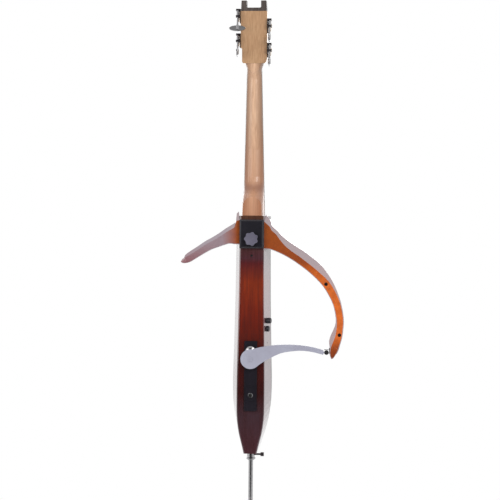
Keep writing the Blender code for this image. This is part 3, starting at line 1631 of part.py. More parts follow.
def make_panel(shell):
    """A strip with a lid recess, a battery well behind it and a pocket round the jack."""
    half = PANEL_WIDTH / 2
    corners = (
        (half, BODY_Z + PANEL_LOW, PANEL_RADIUS),
        (half, BODY_Z + PANEL_HIGH, PANEL_RADIUS),
        (-half, BODY_Z + PANEL_HIGH, PANEL_RADIUS),
        (-half, BODY_Z + PANEL_LOW, PANEL_RADIUS),
    )
    panel = piece(
        "control_panel",
        flat([rounded(corners, 2)], PANEL_THICKNESS),
        "black_plastic",
        (0, PANEL_BACK_Y + PANEL_THICKNESS / 2, 0),
        (math.pi / 2, 0, 0),
    )
    lid_low = BODY_Z + LID_LOW
    seat_y = PANEL_BACK_Y + LID_SEAT
    well_x = BATTERY_SIZE[0] / 2 + SOCKET_CLEARANCE
    well_z = (lid_low + 0.0012, lid_low + 0.0012 + BATTERY_SIZE[2] + 2 * SOCKET_CLEARANCE)
    battery_back = seat_y - 0.001
    battery_front = battery_back - BATTERY_SIZE[1]
    well_floor = battery_front - GAP
    well = tool(
        "battery_well",
        box(
            (-well_x - WELL_WALL, well_floor - WELL_WALL, well_z[0] - WELL_WALL),
            (well_x + WELL_WALL, PANEL_BACK_Y + 0.0006, well_z[1] + WELL_WALL),
        ),
    )
    well_inside = tool(
        "battery_space",
        box((-well_x, well_floor, well_z[0]), (well_x, PANEL_FACE_Y + 0.002, well_z[1])),
    )
    lid_recess = tool(
        "lid_recess",
        box(
            (-LID_WIDTH / 2 - RUNNING, seat_y, lid_low - RUNNING),
            (LID_WIDTH / 2 + RUNNING, PANEL_FACE_Y + 0.002, lid_low + LID_HEIGHT + RUNNING),
        ),
    )
    jack_pocket = tool(
        "jack_pocket",
        box(
            (-PANEL_WIDTH / 2 + 0.002, PANEL_FACE_Y - JACK_POCKET_DEPTH, BODY_Z + JACK_POCKET_LOW),
            (PANEL_WIDTH / 2 - 0.002, PANEL_FACE_Y + 0.002, BODY_Z + JACK_POCKET_HIGH),
        ),
    )
    join(panel, well)
    cut(panel, well_inside, lid_recess, jack_pocket)
    window = tool(
        "battery_window",
        box(
            (-well_x - WELL_WALL - SOCKET_CLEARANCE, INNER_BACK_Y - 0.002,
             well_z[0] - WELL_WALL - SOCKET_CLEARANCE),
            (well_x + WELL_WALL + SOCKET_CLEARANCE, BODY_BACK_Y + 0.002,
             well_z[1] + WELL_WALL + SOCKET_CLEARANCE),
        ),
    )
    cut(shell, window)

    battery = piece(
        "battery",
        box(
            (-BATTERY_SIZE[0] / 2, battery_front, well_z[0] + SOCKET_CLEARANCE),
            (BATTERY_SIZE[0] / 2, battery_back, well_z[1] - SOCKET_CLEARANCE),
        ),
        "battery_case",
    )
    bevel(battery, 0.001, 1)

    lid_radius = LID_THICKNESS / 2
    lid_y = seat_y + GAP + lid_radius
    lid_section = rounded(
        (
            (-lid_radius, -lid_radius, lid_radius * 0.98),
            (lid_radius, -lid_radius, lid_radius * 0.98),
            (lid_radius, LID_HEIGHT - lid_radius, 0.0004),
            (-lid_radius, LID_HEIGHT - lid_radius, 0.0004),
        ),
        4,
    )
    # The section is in Y and Z, so the flat shape is turned to face along X.
    piece(
        "battery_lid",
        flat([lid_section], LID_WIDTH),
        "black_plastic",
        (0, lid_y, lid_low + lid_radius),
        (math.pi / 2, 0, math.pi / 2),
    )
    return panel


def make_jack(shell, panel):
    z = BODY_Z + JACK_HEIGHT
    seat = PANEL_FACE_Y - JACK_POCKET_DEPTH + GAP
    face = JACK_FLANGE_THICKNESS
    turned_piece(
        "jack_socket",
        [
            (0, face - JACK_BORE_DEPTH),
            (JACK_BORE_RADIUS, face - JACK_BORE_DEPTH),
            (JACK_BORE_RADIUS, face),
            (JACK_FLANGE_RADIUS - 0.001, face),
            (JACK_FLANGE_RADIUS, face - 0.001),
            (JACK_FLANGE_RADIUS, 0),
            (JACK_BARREL_RADIUS, 0),
            (JACK_BARREL_RADIUS, -JACK_BARREL_LENGTH),
            (0, -JACK_BARREL_LENGTH),
        ],
        "chrome",
        (0, seat, z),
        (-math.pi / 2, 0, 0),
    )
    hole = tool(
        "jack_hole",
        rod((0, INNER_BACK_Y - 0.002, z), (0, PANEL_FACE_Y + 0.002, z), JACK_BARREL_RADIUS + GAP, 24),
    )
    cut(panel, hole)
    cut(shell, hole)


def make_volume(shell, panel):
    """The volume knob's shaft goes through the back to a control on the circuit board."""
    z = ARM_Z + VOLUME_ABOVE_ARM
    base = PANEL_FACE_Y + GAP
    shaft_end = INNER_BACK_Y + 0.0003 - base
    dome = [
        (VOLUME_RADIUS * math.cos(turn), 0.002 + (VOLUME_HEIGHT - 0.002) * math.sin(turn))
        for turn in spread(math.pi / 2, 0, 6)[1:]
    ]
    turned_piece(
        "volume_knob",
        [
            (0, VOLUME_HEIGHT),
            *dome,
            (VOLUME_RADIUS, 0),
            (CONTROL_SHAFT_RADIUS, 0),
            (CONTROL_SHAFT_RADIUS, shaft_end),
            (0, shaft_end),
        ],
        "chrome",
        (0, base, z),
        (-math.pi / 2, 0, 0),
    )
    hole = tool(
        "volume_hole",
        rod((0, INNER_BACK_Y - 0.002, z), (0, base + 0.002, z), CONTROL_SHAFT_RADIUS + RUNNING, 16),
    )
    cut(panel, hole)
    cut(shell, hole)

    front = INNER_BACK_Y - GAP
    board_back = front - BOARD_STAND_OFF
    board = piece(
        "circuit_board",
        box(
            (-BOARD_WIDTH / 2, board_back - BOARD_THICKNESS, BODY_Z + BOARD_LOW),
            (BOARD_WIDTH / 2, board_back, BODY_Z + BOARD_HIGH),
        ),
        "board_green",
    )
    pot = tool(
        "volume_pot",
        rod((0, board_back - 0.001, z), (0, front - 0.0002, z), POT_RADIUS, 20),
    )
    join(board, pot)
    for side in (1, -1):
        for level in (BOARD_LOW + 0.005, BOARD_HIGH - 0.005):
            spot = (side * (BOARD_WIDTH / 2 - 0.005), BODY_Z + level)
            stand = tool(
                f"board_stand_{side}_{level:.3f}",
                rod((spot[0], board_back - 0.001, spot[1]), (spot[0], front, spot[1]), 0.0025, 10),
            )
            join(board, stand)


def make_tone_controls(shell):
    """Two knobs on the bass side wall, with their controls on a board behind the wall."""
    middle = sum(TONE_HEIGHTS) / 2
    y = BODY_FRONT_Y + TONE_DEPTH
    front, back = read_table(BODY_WIDTHS, middle)
    wall_turn = math.atan2(front - back, BODY_DEPTH)
    x = -body_half_width(middle, y)
    normal = Vector((-math.cos(wall_turn), math.sin(wall_turn), 0))
    frame = bpy.data.objects.new("tone_frame", None)
    collection("electric_double_bass").objects.link(frame)
    upright = Vector((0, 0, 1))
    across = normal.cross(upright)
    facing = Matrix((upright, across, normal)).transposed()
    place(frame, (x, y, BODY_Z + middle), facing.to_euler())
    bpy.context.view_layer.update()

    inner = -SHELL_WALL - 0.0022
    pot_depth = 0.006
    half = (TONE_HEIGHTS[0] - TONE_HEIGHTS[1]) / 2
    board = piece(
        "tone_board",
        box(
            (-half - POT_RADIUS - 0.003, -POT_RADIUS - 0.001, inner - pot_depth - BOARD_THICKNESS),
            (half + POT_RADIUS + 0.003, POT_RADIUS + 0.001, inner - pot_depth),
        ),
        "board_green",
        parent=frame,
    )
    for index, (name, length) in enumerate(zip(("tone_knob_upper", "tone_knob_lower"), TONE_LENGTHS)):
        up = half if index == 0 else -half
        shaft_end = inner + 0.0008
        turned_piece(
            name,
            [
                (0, length),
                (TONE_RADIUS - 0.0015, length),
                (TONE_RADIUS, length - 0.0015),
                (TONE_RADIUS, 0.0015),
                (CONTROL_SHAFT_RADIUS, 0.0015),
                (CONTROL_SHAFT_RADIUS, shaft_end),
                (0, shaft_end),
            ],
            "black_plastic",
            (up, 0, 0),
            parent=frame,
            steps=20,
        )
        hole = tool(
            f"{name}_hole",
            rod((up, 0, inner - 0.003), (up, 0, 0.01), CONTROL_SHAFT_RADIUS + RUNNING, 16),
            parent=frame,
        )
        cut(shell, hole)
        pot = tool(
            f"{name}_pot",
            rod((up, 0, inner - pot_depth - 0.0005), (up, 0, inner), POT_RADIUS, 16),
            parent=frame,
        )
        join(board, pot)


def build():
    clear_scene()
    new_collection("electric_double_bass")
    new_collection("cutters")
    head = make_head_frame()
    shell, neck_block, end_block = make_body()
    make_back_screw(shell, neck_block)
    make_fingerboard()
    make_nut()
    make_neck(head, shell, neck_block)
    make_bridge()
    across, reach = make_tailpiece()
    make_tail_wire(shell, end_block, across, reach)
    make_strings(head)
    pegbox = make_pegbox(head)
    make_fork(head)
    for name, side, height, _, key_turn in TUNERS:
        make_tuner(head, pegbox, name, side, height, key_turn)
    make_endpin(shell, end_block)
    make_yoke(shell, neck_block)
    bass_frame = make_frames(shell, neck_block)
    make_frame_screws(bass_frame)
    make_clip()
    panel = make_panel(shell)
    make_jack(shell, panel)
    make_volume(shell, panel)
    make_tone_controls(shell)
    make_arm(shell, panel)


build()
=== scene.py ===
"""Finishes, small fittings, light and camera for the electric double bass."""

import json
import math

import bpy
from mathutils import Matrix, Vector


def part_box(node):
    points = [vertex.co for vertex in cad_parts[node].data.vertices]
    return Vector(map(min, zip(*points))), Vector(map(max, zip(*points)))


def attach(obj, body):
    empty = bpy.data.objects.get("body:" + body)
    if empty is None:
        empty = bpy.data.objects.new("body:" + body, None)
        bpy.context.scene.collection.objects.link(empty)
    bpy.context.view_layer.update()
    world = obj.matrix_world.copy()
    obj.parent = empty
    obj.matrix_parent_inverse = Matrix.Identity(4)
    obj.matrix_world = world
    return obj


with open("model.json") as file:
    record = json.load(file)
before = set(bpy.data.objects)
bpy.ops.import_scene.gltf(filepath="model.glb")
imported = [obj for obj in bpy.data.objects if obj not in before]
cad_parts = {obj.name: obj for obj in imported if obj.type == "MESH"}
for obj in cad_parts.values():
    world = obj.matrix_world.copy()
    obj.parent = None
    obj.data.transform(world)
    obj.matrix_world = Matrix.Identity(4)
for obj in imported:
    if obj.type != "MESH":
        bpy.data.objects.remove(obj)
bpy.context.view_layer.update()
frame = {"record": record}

bl_info = {
    "name": "Electric double bass",
    "version": (1, 0, 0),
    "blender": (4, 5, 0),
    "location": "View3D > Sidebar > Double Bass",
    "description": "Finishes the packed double bass and sets up its studio",
    "category": "Object",
}

STRINGS = ("e", "a", "d", "g")
SOFT_LIGHT = 0.55
BEHIND_CAMERA = 0.05
FLOOR_SIZE = 2.4
SIDE_REFLECTION_SHARE = 0.62
SHADED_EDGE_Y = -0.0295


# Colours

def linear(channel):
    share = channel / 255
    return share / 12.92 if share <= 0.04045 else ((share + 0.055) / 1.055) ** 2.4


def colour(code):
    """A linear colour with alpha from a screen colour code."""
    return (*(linear(code >> shift & 0xFF) for shift in (16, 8, 0)), 1.0)


# Shader building

class Wire:
    """A node's output, which takes part in plain arithmetic."""

    def __init__(self, recipe, socket):
        self.recipe = recipe
        self.socket = socket

    def maths(self, operation, first, second):
        return self.recipe.node("ShaderNodeMath", {"operation": operation}, {0: first, 1: second})

    def __add__(self, other):
        return self.maths("ADD", self, other)

    __radd__ = __add__

    def __mul__(self, other):
        return self.maths("MULTIPLY", self, other)

    __rmul__ = __mul__

    def __sub__(self, other):
        return self.maths("SUBTRACT", self, other)

    def __rsub__(self, other):
        return self.maths("SUBTRACT", other, self)

    def __abs__(self):
        return self.maths("ABSOLUTE", self, 0.0)


class Recipe:
    """One material, built from nodes."""

    def __init__(self, name, **fixed):
        self.material = bpy.data.materials.new(name)
        self.material.use_nodes = True
        self.tree = self.material.node_tree
        self.shader = self.tree.nodes["Principled BSDF"]
        for label, value in fixed.items():
            self.shader.inputs[label.replace("_", " ")].default_value = value

    def node(self, kind, settings=None, inputs=None, output=0):
        made = self.tree.nodes.new(kind)
        for label, value in (settings or {}).items():
            if label == "stops":
                self.set_stops(made.color_ramp, value)
            else:
                setattr(made, label, value)
        for key, value in (inputs or {}).items():
            if isinstance(value, Wire):
                self.tree.links.new(value.socket, made.inputs[key])
            else:
                made.inputs[key].default_value = value
        return Wire(self, made.outputs[output])

    @staticmethod
    def set_stops(ramp, stops):
        while len(ramp.elements) < len(stops):
            ramp.elements.new(1.0)
        for element, (place, value) in zip(ramp.elements, stops):
            element.position = place
            element.color = value

    def place(self):
        return self.node("ShaderNodeTexCoord", output="Object")

    def facing(self):
        return self.node("ShaderNodeTexCoord", output="Normal")

    def part(self, vector, axis):
        return self.node("ShaderNodeSeparateXYZ", {}, {0: vector}, axis)

    def stretched(self, vector, scale):
        return self.node("ShaderNodeMapping", {}, {"Vector": vector, "Scale": scale})

    def noise(self, vector, scale, detail=4.0, roughness=0.6):
        inputs = {"Vector": vector, "Scale": scale, "Detail": detail, "Roughness": roughness}
        return self.node("ShaderNodeTexNoise", {}, inputs)

    def span(self, value, low, high, to_low=0.0, to_high=1.0):
        inputs = {0: value, 1: low, 2: high, 3: to_low, 4: to_high}
        return self.node("ShaderNodeMapRange", {}, inputs)

    def blend(self, share, first, second, mode="MIX"):
        settings = {"data_type": "RGBA", "blend_type": mode}
        return self.node("ShaderNodeMix", settings, {0: share, 6: first, 7: second}, 2)

    def ramp(self, value, stops):
        return self.node("ShaderNodeValToRGB", {"stops": stops}, {0: value})

    def bump(self, height, strength, distance):
        inputs = {"Height": height, "Strength": strength, "Distance": distance}
        return self.node("ShaderNodeBump", {}, inputs)

    def feed(self, **wires):
        for label, wire in wires.items():
            self.tree.links.new(wire.socket, self.shader.inputs[label.replace("_", " ")])
        return self.material


# Finishes

def grain_of(recipe, along=(60.0, 60.0, 2.5), scale=4.0):
    """Long streaks that run up the instrument."""
    return recipe.noise(recipe.stretched(recipe.place(), along), scale)


def body_lacquer(sizes):
    """Red brown lacquer, darker towards the lower end, with a painted shadow at its top under the neck
    heel and a painted reflection of the white studio on the side walls."""
    made = Recipe("body lacquer", Coat_Roughness=0.06, Coat_Weight=1.0, IOR=1.5)
    height = made.part(made.place(), 2)
    shade = made.ramp(
        made.span(height, 0.38, 1.108),
        [
            (0.00, colour(0x4D2D34)),
            (0.16, colour(0x432F37)),
            (0.25, colour(0x380F0E)),
            (0.42, colour(0x4C130D)),
            (0.58, colour(0x7A2512)),
            (0.72, colour(0x903414)),
            (0.80, colour(0x602023)),
            (0.82, colour(0x533039)),
            # Painted shadow: the top stop is the dark brown shade the neck heel casts on the body's top
            # end; the stops below are the lacquer's tone by height.
            (1.00, colour(0x62422F)),
        ],
    )
    streak = grain_of(made)
    wood = made.blend(made.span(streak, 0.35, 0.7, 0.0, 0.5), shade, colour(sizes.body_grain_code))
    blotch = made.noise(made.place(), 14.0)
    wood = made.blend(made.span(blotch, 0.3, 0.75, 0.0, 0.35), wood, colour(0x8E3A18), "SOFT_LIGHT")
    # Painted reflection: faces that turn sideways are mixed towards pale grey-mauve, the white studio
    # mirrored in the glossy side walls.
    outward = made.part(made.facing(), 1)
    side = made.span(outward, 0.75, 0.35)
    wood = made.blend(side * SIDE_REFLECTION_SHARE, wood, colour(0x9A868E))
    # Painted shade: a thin dark band on the side walls next to the front plate.
    depth = made.part(made.place(), 1)
    front_edge_shade = made.span(depth, SHADED_EDGE_Y + 0.0004, SHADED_EDGE_Y - 0.0004)
    wood = made.blend(front_edge_shade, wood, colour(0x120A0C))
    rough = made.span(streak, 0.3, 0.8, 0.16, 0.28)
    return made.feed(
        Base_Color=wood, Roughness=rough, Normal=made.bump(streak, 0.05, 0.001)
    )


def frame_lacquer(sizes):
    """Orange lacquer on the flat back, with a painted reflection of the white studio on the bevels and
    the outer wing.
    """
    made = Recipe("frame lacquer", Coat_Roughness=0.05, Coat_Weight=1.0)
    place = made.place()
    height = made.part(place, 2)
    across = made.part(place, 0)
    shade = made.ramp(
        made.span(height, 0.67, 1.12),
        [
            (0.00, colour(0x7A3418)),
            (0.09, colour(0xA84E20)),
            (0.16, colour(0xE8742E)),
            (0.50, colour(0xE8742E)),
            (0.62, colour(0xC8601F)),
            (0.66, colour(0xA04C20)),
            (1.00, colour(0xA9571F)),
        ],
    )
    streak = made.noise(made.stretched(place, (14.0, 60.0, 14.0)), 5.0)
    wood = made.blend(made.span(streak, 0.3, 0.75, 0.0, 0.45), shade, colour(0x7A3214))
    # Painted reflection: bevels that turn sideways are mixed towards the pale grey of the mirrored
    # studio.
    outward = made.part(made.facing(), 1)
    side = made.span(outward, 0.97, 0.86)
    wood = made.blend(side * 0.85, wood, colour(0xA89CA2))
    # Painted reflection: the outer wing is mixed towards grey-mauve, pinker low down, for the studio
    # mirrored in its gloss.
    wing_reflection_mask = made.span(across, 0.045, 0.09)
    reflection_by_height = made.span(height, 0.95, 1.02)
    wing_reflection = made.blend(reflection_by_height, colour(0x8E5A62), colour(0x9C8E98))
    wood = made.blend(wing_reflection_mask * 0.85, wood, wing_reflection)
    rough = made.span(streak, 0.3, 0.8, 0.15, 0.25)
    return made.feed(Base_Color=wood, Roughness=rough, Normal=made.bump(streak, 0.04, 0.001))


def plain_wood(name, light, dark, low, high, along=(70.0, 70.0, 3.0), **fixed):
    """Bare or oiled wood with fine streaks and soft clouds."""
    made = Recipe(name, **fixed)
    streak = grain_of(made, along)
    cloud = made.noise(made.place(), 9.0)
    wood = made.blend(made.span(streak, 0.35, 0.7), colour(light), colour(dark))
    wood = made.blend(made.span(cloud, 0.35, 0.7, 0.0, 0.3), wood, colour(dark), "MULTIPLY")
    rough = made.span(streak, 0.3, 0.8, low, high)
    return made.feed(Base_Color=wood, Roughness=rough, Normal=made.bump(streak, 0.12, 0.0008))


def neck_maple(sizes):
    """Oiled maple, pale along the middle of the neck and browner at its edges."""
    made = Recipe("neck maple", Coat_Weight=0.25, Coat_Roughness=0.2)
    place = made.place()
    streak = grain_of(made)
    off_middle = abs(made.part(place, 0))
    base = made.blend(
        made.span(off_middle, 0.003, 0.024), colour(sizes.neck_code), colour(0x8E6A50)
    )
    height = made.part(place, 2)
    red = made.span(height, 1.40, 1.10)
    base = made.blend(red * 0.7, base, colour(0xC07E5C))
    # Painted shade: a darker brown band where the neck's back scoops out into the heel.
    heel_scoop_shade = made.span(abs(height - 1.195), 0.022, 0.004)
    base = made.blend(heel_scoop_shade * 0.6, base, colour(0x7A4A38))
    wood = made.blend(made.span(streak, 0.35, 0.75, 0.0, 0.5), base, colour(0x9A6A4C))
    rough = made.span(streak, 0.3, 0.8, 0.3, 0.45)
    return made.feed(Base_Color=wood, Roughness=rough, Normal=made.bump(streak, 0.08, 0.0008))


def front_lacquer(sizes):
    """Amber lacquered front with a dark line round its edge."""
    made = Recipe("front lacquer", Coat_Weight=1.0, Coat_Roughness=0.06)
    streak = grain_of(made, (90.0, 20.0, 2.0))
    wood = made.blend(made.span(streak, 0.3, 0.7), colour(0xB5713A), colour(0x7A3A18))
    outward = abs(made.part(made.facing(), 1))
    wood = made.blend(made.span(outward, 0.8, 0.5), wood, colour(0x1A1012))
    rough = made.span(streak, 0.3, 0.8, 0.16, 0.26)
    return made.feed(Base_Color=wood, Roughness=rough, Normal=made.bump(streak, 0.05, 0.001))


def cast_surface(name, base, tint, low, high, scale=60.0, depth=0.0002, **fixed):
    """Metal, paint, rubber or moulded plastic with faint mottling and handling marks."""
    made = Recipe(name, **fixed)
    place = made.place()
    mottle = made.noise(place, 18.0)
    fine = made.noise(place, scale * 12, 6.0)
    surface = made.blend(made.span(mottle, 0.3, 0.75), colour(base), colour(tint))
    rough = made.span(fine, 0.3, 0.8, low, high)
    return made.feed(Base_Color=surface, Roughness=rough, Normal=made.bump(fine, 0.15, depth))


def brushed(name, base, tint, stretch, low, high):
    """Turned or brushed metal."""
    made = Recipe(name, Metallic=1.0)
    lines = made.noise(made.stretched(made.place(), stretch), 30.0, 6.0)
    metal = made.blend(made.span(lines, 0.3, 0.7), colour(base), colour(tint))
    rough = made.span(lines, 0.3, 0.7, low, high)
    return made.feed(Base_Color=metal, Roughness=rough, Normal=made.bump(lines, 0.05, 0.0002))


def board_green():
    """A printed board with faint tracks."""
    made = Recipe("circuit board", Roughness=0.45)
    tracks = made.node(
        "ShaderNodeTexBrick", {}, {"Vector": made.place(), "Scale": 120.0, "Color1": (1, 1, 1, 1)}
    )
    green = made.blend(0.25, colour(0x2F5A3A), tracks, "MULTIPLY")
    return made.feed(Base_Color=green)


# Small fittings that the solids leave out

def rest_alone():
    if bpy.context.mode != "OBJECT":
        bpy.ops.object.mode_set(mode="OBJECT")
    bpy.ops.object.select_all(action="DESELECT")


def settle(piece, name, material, body):
    """Names a piece, bakes its place into its mesh and lets it ride on a body."""
    rest_alone()
    piece.select_set(True)
    bpy.context.view_layer.objects.active = piece
    bpy.ops.object.transform_apply(location=True, rotation=True, scale=True)
    piece.name = name
    piece.data.name = name
    piece.data.materials.clear()
    piece.data.materials.append(material)
    bpy.ops.object.shade_smooth_by_angle(angle=math.radians(35))
    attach(piece, body)
    return piece


def button_head(centre, radius, height, aim):
    """A low round screw head with a bevelled rim and a sunk round socket."""
    rest_alone()
    turn = Vector((0, 0, 1)).rotation_difference(Vector(aim)).to_euler()
    middle = Vector(centre) + Vector(aim).normalized() * height / 2
    bpy.ops.mesh.primitive_cylinder_add(
        vertices=24, radius=radius, depth=height, location=middle, rotation=turn
    )
    piece = bpy.context.object
    bpy.ops.object.mode_set(mode="EDIT")
    bpy.ops.mesh.select_mode(type="FACE")
    bpy.ops.mesh.select_all(action="DESELECT")
    bpy.ops.object.mode_set(mode="OBJECT")
    for face in piece.data.polygons:
        face.select = face.normal.z > 0.9
    bpy.ops.object.mode_set(mode="EDIT")
    bpy.ops.mesh.inset(thickness=radius * 0.25, depth=height * 0.3)
    bpy.ops.mesh.inset(thickness=radius * 0.3)
    bpy.ops.mesh.inset(thickness=0.0001, depth=-height * 0.5)
    bpy.ops.object.mode_set(mode="OBJECT")
    return piece


def winding(centre, post_radius, string_radius, turns, axis_turn):
    """A string's turns round its post."""
    rest_alone()
    bpy.ops.mesh.primitive_circle_add(vertices=8, radius=string_radius)
    piece = bpy.context.object
    bpy.ops.object.mode_set(mode="EDIT")
    bpy.ops.mesh.select_all(action="SELECT")
    offset = post_radius + string_radius + 0.0002
    bpy.ops.transform.rotate(value=math.pi / 2, orient_axis="X", center_override=(0, 0, 0))
    bpy.ops.transform.translate(value=(offset, 0, 0))
    bpy.ops.object.mode_set(mode="OBJECT")
    coil = piece.modifiers.new("turns", "SCREW")
    coil.axis = "Z"
    coil.screw_offset = string_radius * 2.15
    coil.iterations = turns
    coil.steps = 20
    coil.render_steps = 20
    bpy.ops.object.modifier_apply(modifier=coil.name)
    bpy.ops.object.mode_set(mode="EDIT")
    bpy.ops.mesh.select_all(action="SELECT")
    bpy.ops.mesh.fill_holes(sides=0)
    bpy.ops.mesh.select_all(action="SELECT")
    bpy.ops.mesh.normals_make_consistent(inside=False)
    bpy.ops.object.mode_set(mode="OBJECT")
    piece.location = centre
    piece.rotation_euler = axis_turn
    return piece


class BassSettings(bpy.types.PropertyGroup):
    """Sizes and colours that a user would change."""

    body_grain_code: bpy.props.IntProperty(
        name="Body grain", description="Screen colour code of the body's dark grain", default=0x3A100E
    )
    neck_code: bpy.props.IntProperty(
        name="Neck colour", description="Screen colour code of the neck's pale middle", default=0xE6BC9A
    )
    camera_distance: bpy.props.FloatProperty(
        name="Camera distance", description="From the camera to the bass", default=4.5, unit="LENGTH"
    )
    view_height: bpy.props.FloatProperty(
        name="View height", description="Height of the picture's middle", default=1.003, unit="LENGTH"
    )
    picture_span: bpy.props.FloatProperty(
        name="Picture span", description="Height shown in the picture", default=1.5425, unit="LENGTH"
    )
    string_turns: bpy.props.IntProperty(
        name="String turns", description="Turns of each string on its post", default=3, min=1
    )


class BASS_OT_finishes(bpy.types.Operator):
    """Give every solid its finish"""

    bl_idname = "bass.finishes"
    bl_label = "Finish the solids"

    def execute(self, context):
        sizes = context.scene.bass_settings
        made = {
            "brown_lacquer": body_lacquer(sizes),
            "orange_lacquer": frame_lacquer(sizes),
            "spruce_top": front_lacquer(sizes),
            "dark_crest": plain_wood("dark crest", 0x5D5450, 0x403430, 0.35, 0.5),
            "ebony": plain_wood("ebony", 0x221C1A, 0x0C0908, 0.3, 0.45),
            "block_wood": plain_wood("block wood", 0xC9A274, 0x9C7448, 0.6, 0.75),
            "bridge_wood": plain_wood("bridge maple", 0xC79A62, 0x9A6A3A, 0.4, 0.55),
            "black_plate": cast_surface("black plate", 0x0F0D18, 0x181520, 0.3, 0.45),
            "star_knob_grey": cast_surface("grey moulding", 0x565364, 0x706D7E, 0.4, 0.55),
            "arm_grey": cast_surface("silver paint", 0xA3A2B2, 0xAEB0C0, 0.28, 0.42),
            "black_rubber": cast_surface("rubber", 0x101010, 0x1C1A1A, 0.7, 0.9),
            "black_plastic": cast_surface("black plastic", 0x100B16, 0x18121E, 0.3, 0.45),
            "chrome": brushed("chrome", 0xB8B6B7, 0x9A9A9C, (1, 1, 4), 0.12, 0.22),
            "dark_steel": brushed("dark steel", 0x4A4446, 0x332E30, (4, 4, 1), 0.3, 0.45),
            "brass_metal": brushed("brass", 0xB08D57, 0x8C6A3A, (1, 4, 4), 0.25, 0.4),
            "string_steel": brushed("string steel", 0x8A8A8C, 0x5C5C60, (1, 1, 12), 0.3, 0.45),
            "board_green": board_green(),
            "battery_case": cast_surface("battery case", 0x2B2D33, 0x3A3C44, 0.3, 0.45),
        }
        head_maple = plain_wood("head maple", 0xC9A27C, 0xB08660, 0.3, 0.45, Coat_Weight=0.25)
        special = {"neck": neck_maple(sizes), "pegbox": head_maple}
        slots = {row["node"]: row["material_slot"] for row in frame["record"]["subparts"]}
        for node, slot in slots.items():
            solid = bpy.data.objects[node]
            solid.data.materials.clear()
            solid.data.materials.append(special.get(node) or made[slot])
        return {"FINISHED"}


class BASS_OT_fittings(bpy.types.Operator):
    """Add the screws and the string turns that the solids leave out"""

    bl_idname = "bass.fittings"
    bl_label = "Add the small fittings"

    def execute(self, context):
        sizes = context.scene.bass_settings
        steel = bpy.data.materials["dark steel"]
        wire = bpy.data.materials["string steel"]
        gear_joints = {row["name"]: row for row in frame["record"]["behaviour"]["joints"]}
        for name in STRINGS:
            place = Vector(gear_joints[f"tuner_gear_{name}_turn"]["pos_m"])
            side = 1 if place.x > 0 else -1
            low, high = (Vector(corner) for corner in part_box(f"tuner_gear_{name}"))
            outer = high.x if side > 0 else low.x
            head = button_head(
                (outer - side * 0.0012, place.y, place.z), 0.0042, 0.0012, (side, 0, 0)
            )
            settle(head, f"gear_screw_{name}", steel, f"tuner_gear_{name}")
            string_low, string_high = (Vector(c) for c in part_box(f"string_{name}"))
            thickness = {"e": 0.0013, "a": 0.00105, "d": 0.0008, "g": 0.00055}[name]
            across = {"e": -0.019, "a": -0.00633, "d": 0.00633, "g": 0.019}[name]
            turns = winding(
                (across + thickness, place.y, place.z), 0.0045, thickness,
                sizes.string_turns, (0, -math.pi / 2, 0)
            )
            settle(turns, f"string_turns_{name}", wire, f"tuner_gear_{name}")
        wall = button_head((-0.0473, 0.006, 0.718), 0.0022, 0.0008, (-0.974, 0.227, 0))
        settle(wall, "side_wall_screw", steel, "body")
        return {"FINISHED"}


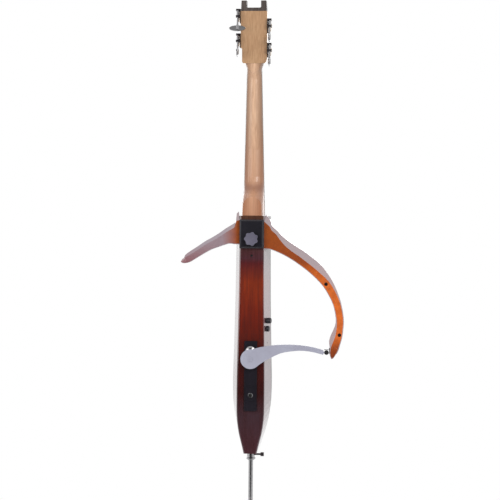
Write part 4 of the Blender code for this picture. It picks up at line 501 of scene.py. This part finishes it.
class BASS_OT_stage(bpy.types.Operator):
    """Set up the white studio, its lamps and the camera"""

    bl_idname = "bass.stage"
    bl_label = "Set up the studio"

    def execute(self, context):
        sizes = context.scene.bass_settings
        scene = context.scene
        scene.view_settings.view_transform = "Standard"
        rest_alone()
        bpy.ops.mesh.primitive_plane_add(size=FLOOR_SIZE, location=(0, 0, -0.0005))
        floor = bpy.context.object
        floor.name = "studio_floor"
        floor.data.materials.append(self.floor_paint())
        self.light_world(scene)
        for name, spot, power, size in (
            ("back_key", (-1.6, 3.0, 2.6), 55, 1.6),
            ("back_fill", (2.4, 2.6, 1.4), 30, 2.0),
            ("front_fill", (0.5, -3.2, 2.2), 40, 2.4),
        ):
            bpy.ops.object.light_add(type="AREA", location=spot)
            lamp = bpy.context.object
            lamp.name = name
            lamp.data.energy = power
            lamp.data.size = size
            aim = Vector((0, 0, 1.0)) - Vector(spot)
            lamp.rotation_euler = aim.to_track_quat("-Z", "Y").to_euler()
        self.add_camera(scene, sizes)
        return {"FINISHED"}

    @staticmethod
    def floor_paint():
        made = Recipe("studio floor paint", Roughness=0.9)
        tone = made.noise(made.place(), 0.7)
        paint = made.blend(made.span(tone, 0.3, 0.7), colour(0xF2F2F2), colour(0xEFEFEF))
        return made.feed(Base_Color=paint)

    @staticmethod
    def light_world(scene):
        world = bpy.data.worlds.new("white studio")
        scene.world = world
        world.use_nodes = True
        tree = world.node_tree
        tree.nodes.clear()
        output = tree.nodes.new("ShaderNodeOutputWorld")
        path = tree.nodes.new("ShaderNodeLightPath")
        direction = tree.nodes.new("ShaderNodeTexCoord")
        split = tree.nodes.new("ShaderNodeSeparateXYZ")
        tree.links.new(direction.outputs["Generated"], split.inputs[0])
        unlit = tree.nodes.new("ShaderNodeMapRange")
        for place, value in ((1, 0.5), (2, 0.9), (3, 1.0), (4, BEHIND_CAMERA)):
            unlit.inputs[place].default_value = value
        tree.links.new(split.outputs["Y"], unlit.inputs[0])
        shades = [tree.nodes.new("ShaderNodeBackground") for _ in range(3)]
        soft, mirrored, white = shades
        for shade, strength in ((soft, SOFT_LIGHT), (white, 1.0)):
            shade.inputs["Color"].default_value = (1, 1, 1, 1)
            shade.inputs["Strength"].default_value = strength
        tree.links.new(unlit.outputs[0], mirrored.inputs["Strength"])
        mirrored.inputs["Color"].default_value = (1, 1, 1, 1)
        for_mirrors = tree.nodes.new("ShaderNodeMixShader")
        tree.links.new(path.outputs["Is Glossy Ray"], for_mirrors.inputs[0])
        tree.links.new(soft.outputs[0], for_mirrors.inputs[1])
        tree.links.new(mirrored.outputs[0], for_mirrors.inputs[2])
        for_camera = tree.nodes.new("ShaderNodeMixShader")
        tree.links.new(path.outputs["Is Camera Ray"], for_camera.inputs[0])
        tree.links.new(for_mirrors.outputs[0], for_camera.inputs[1])
        tree.links.new(white.outputs[0], for_camera.inputs[2])
        tree.links.new(for_camera.outputs[0], output.inputs[0])

    @staticmethod
    def add_camera(scene, sizes):
        """The camera looks level at the back, turned a little and rolled half a degree."""
        turn = math.radians(4.5)
        roll = math.radians(0.5)
        right = Vector((-math.cos(turn), -math.sin(turn), 0))
        ahead = Vector((0, 0, 1)).cross(right)
        upright = Vector((0, 0, 1))
        across = right * math.cos(roll) + upright * math.sin(roll)
        up = upright * math.cos(roll) - right * math.sin(roll)
        aim = Vector((0.0082, 0, sizes.view_height))
        data = bpy.data.cameras.new("picture camera")
        data.sensor_width = 36
        data.lens = 36 * sizes.camera_distance / sizes.picture_span
        camera = bpy.data.objects.new("picture_camera", data)
        scene.collection.objects.link(camera)
        facing = Matrix((across, up, -ahead)).transposed().to_4x4()
        camera.matrix_world = Matrix.Translation(aim - ahead * sizes.camera_distance) @ facing
        scene.camera = camera


class BASS_PT_panel(bpy.types.Panel):
    """Lists the steps that finish the bass"""

    bl_idname = "BASS_PT_panel"
    bl_label = "Double Bass"
    bl_space_type = "VIEW_3D"
    bl_region_type = "UI"
    bl_category = "Double Bass"

    def draw(self, context):
        settings = context.scene.bass_settings
        for label in ("body_grain_code", "neck_code", "camera_distance", "view_height",
                      "picture_span", "string_turns"):
            self.layout.prop(settings, label)
        for step in STEPS:
            self.layout.operator(step.bl_idname)


STEPS = (BASS_OT_stage, BASS_OT_finishes, BASS_OT_fittings)
CLASSES = (BassSettings, *STEPS, BASS_PT_panel)


def register():
    for made in CLASSES:
        bpy.utils.register_class(made)
    bpy.types.Scene.bass_settings = bpy.props.PointerProperty(type=BassSettings)


def unregister():
    del bpy.types.Scene.bass_settings
    for made in reversed(CLASSES):
        bpy.utils.unregister_class(made)


def main():
    register()
    bpy.ops.bass.stage()
    bpy.ops.bass.finishes()
    bpy.ops.bass.fittings()


if __name__ == "__main__":
    main()
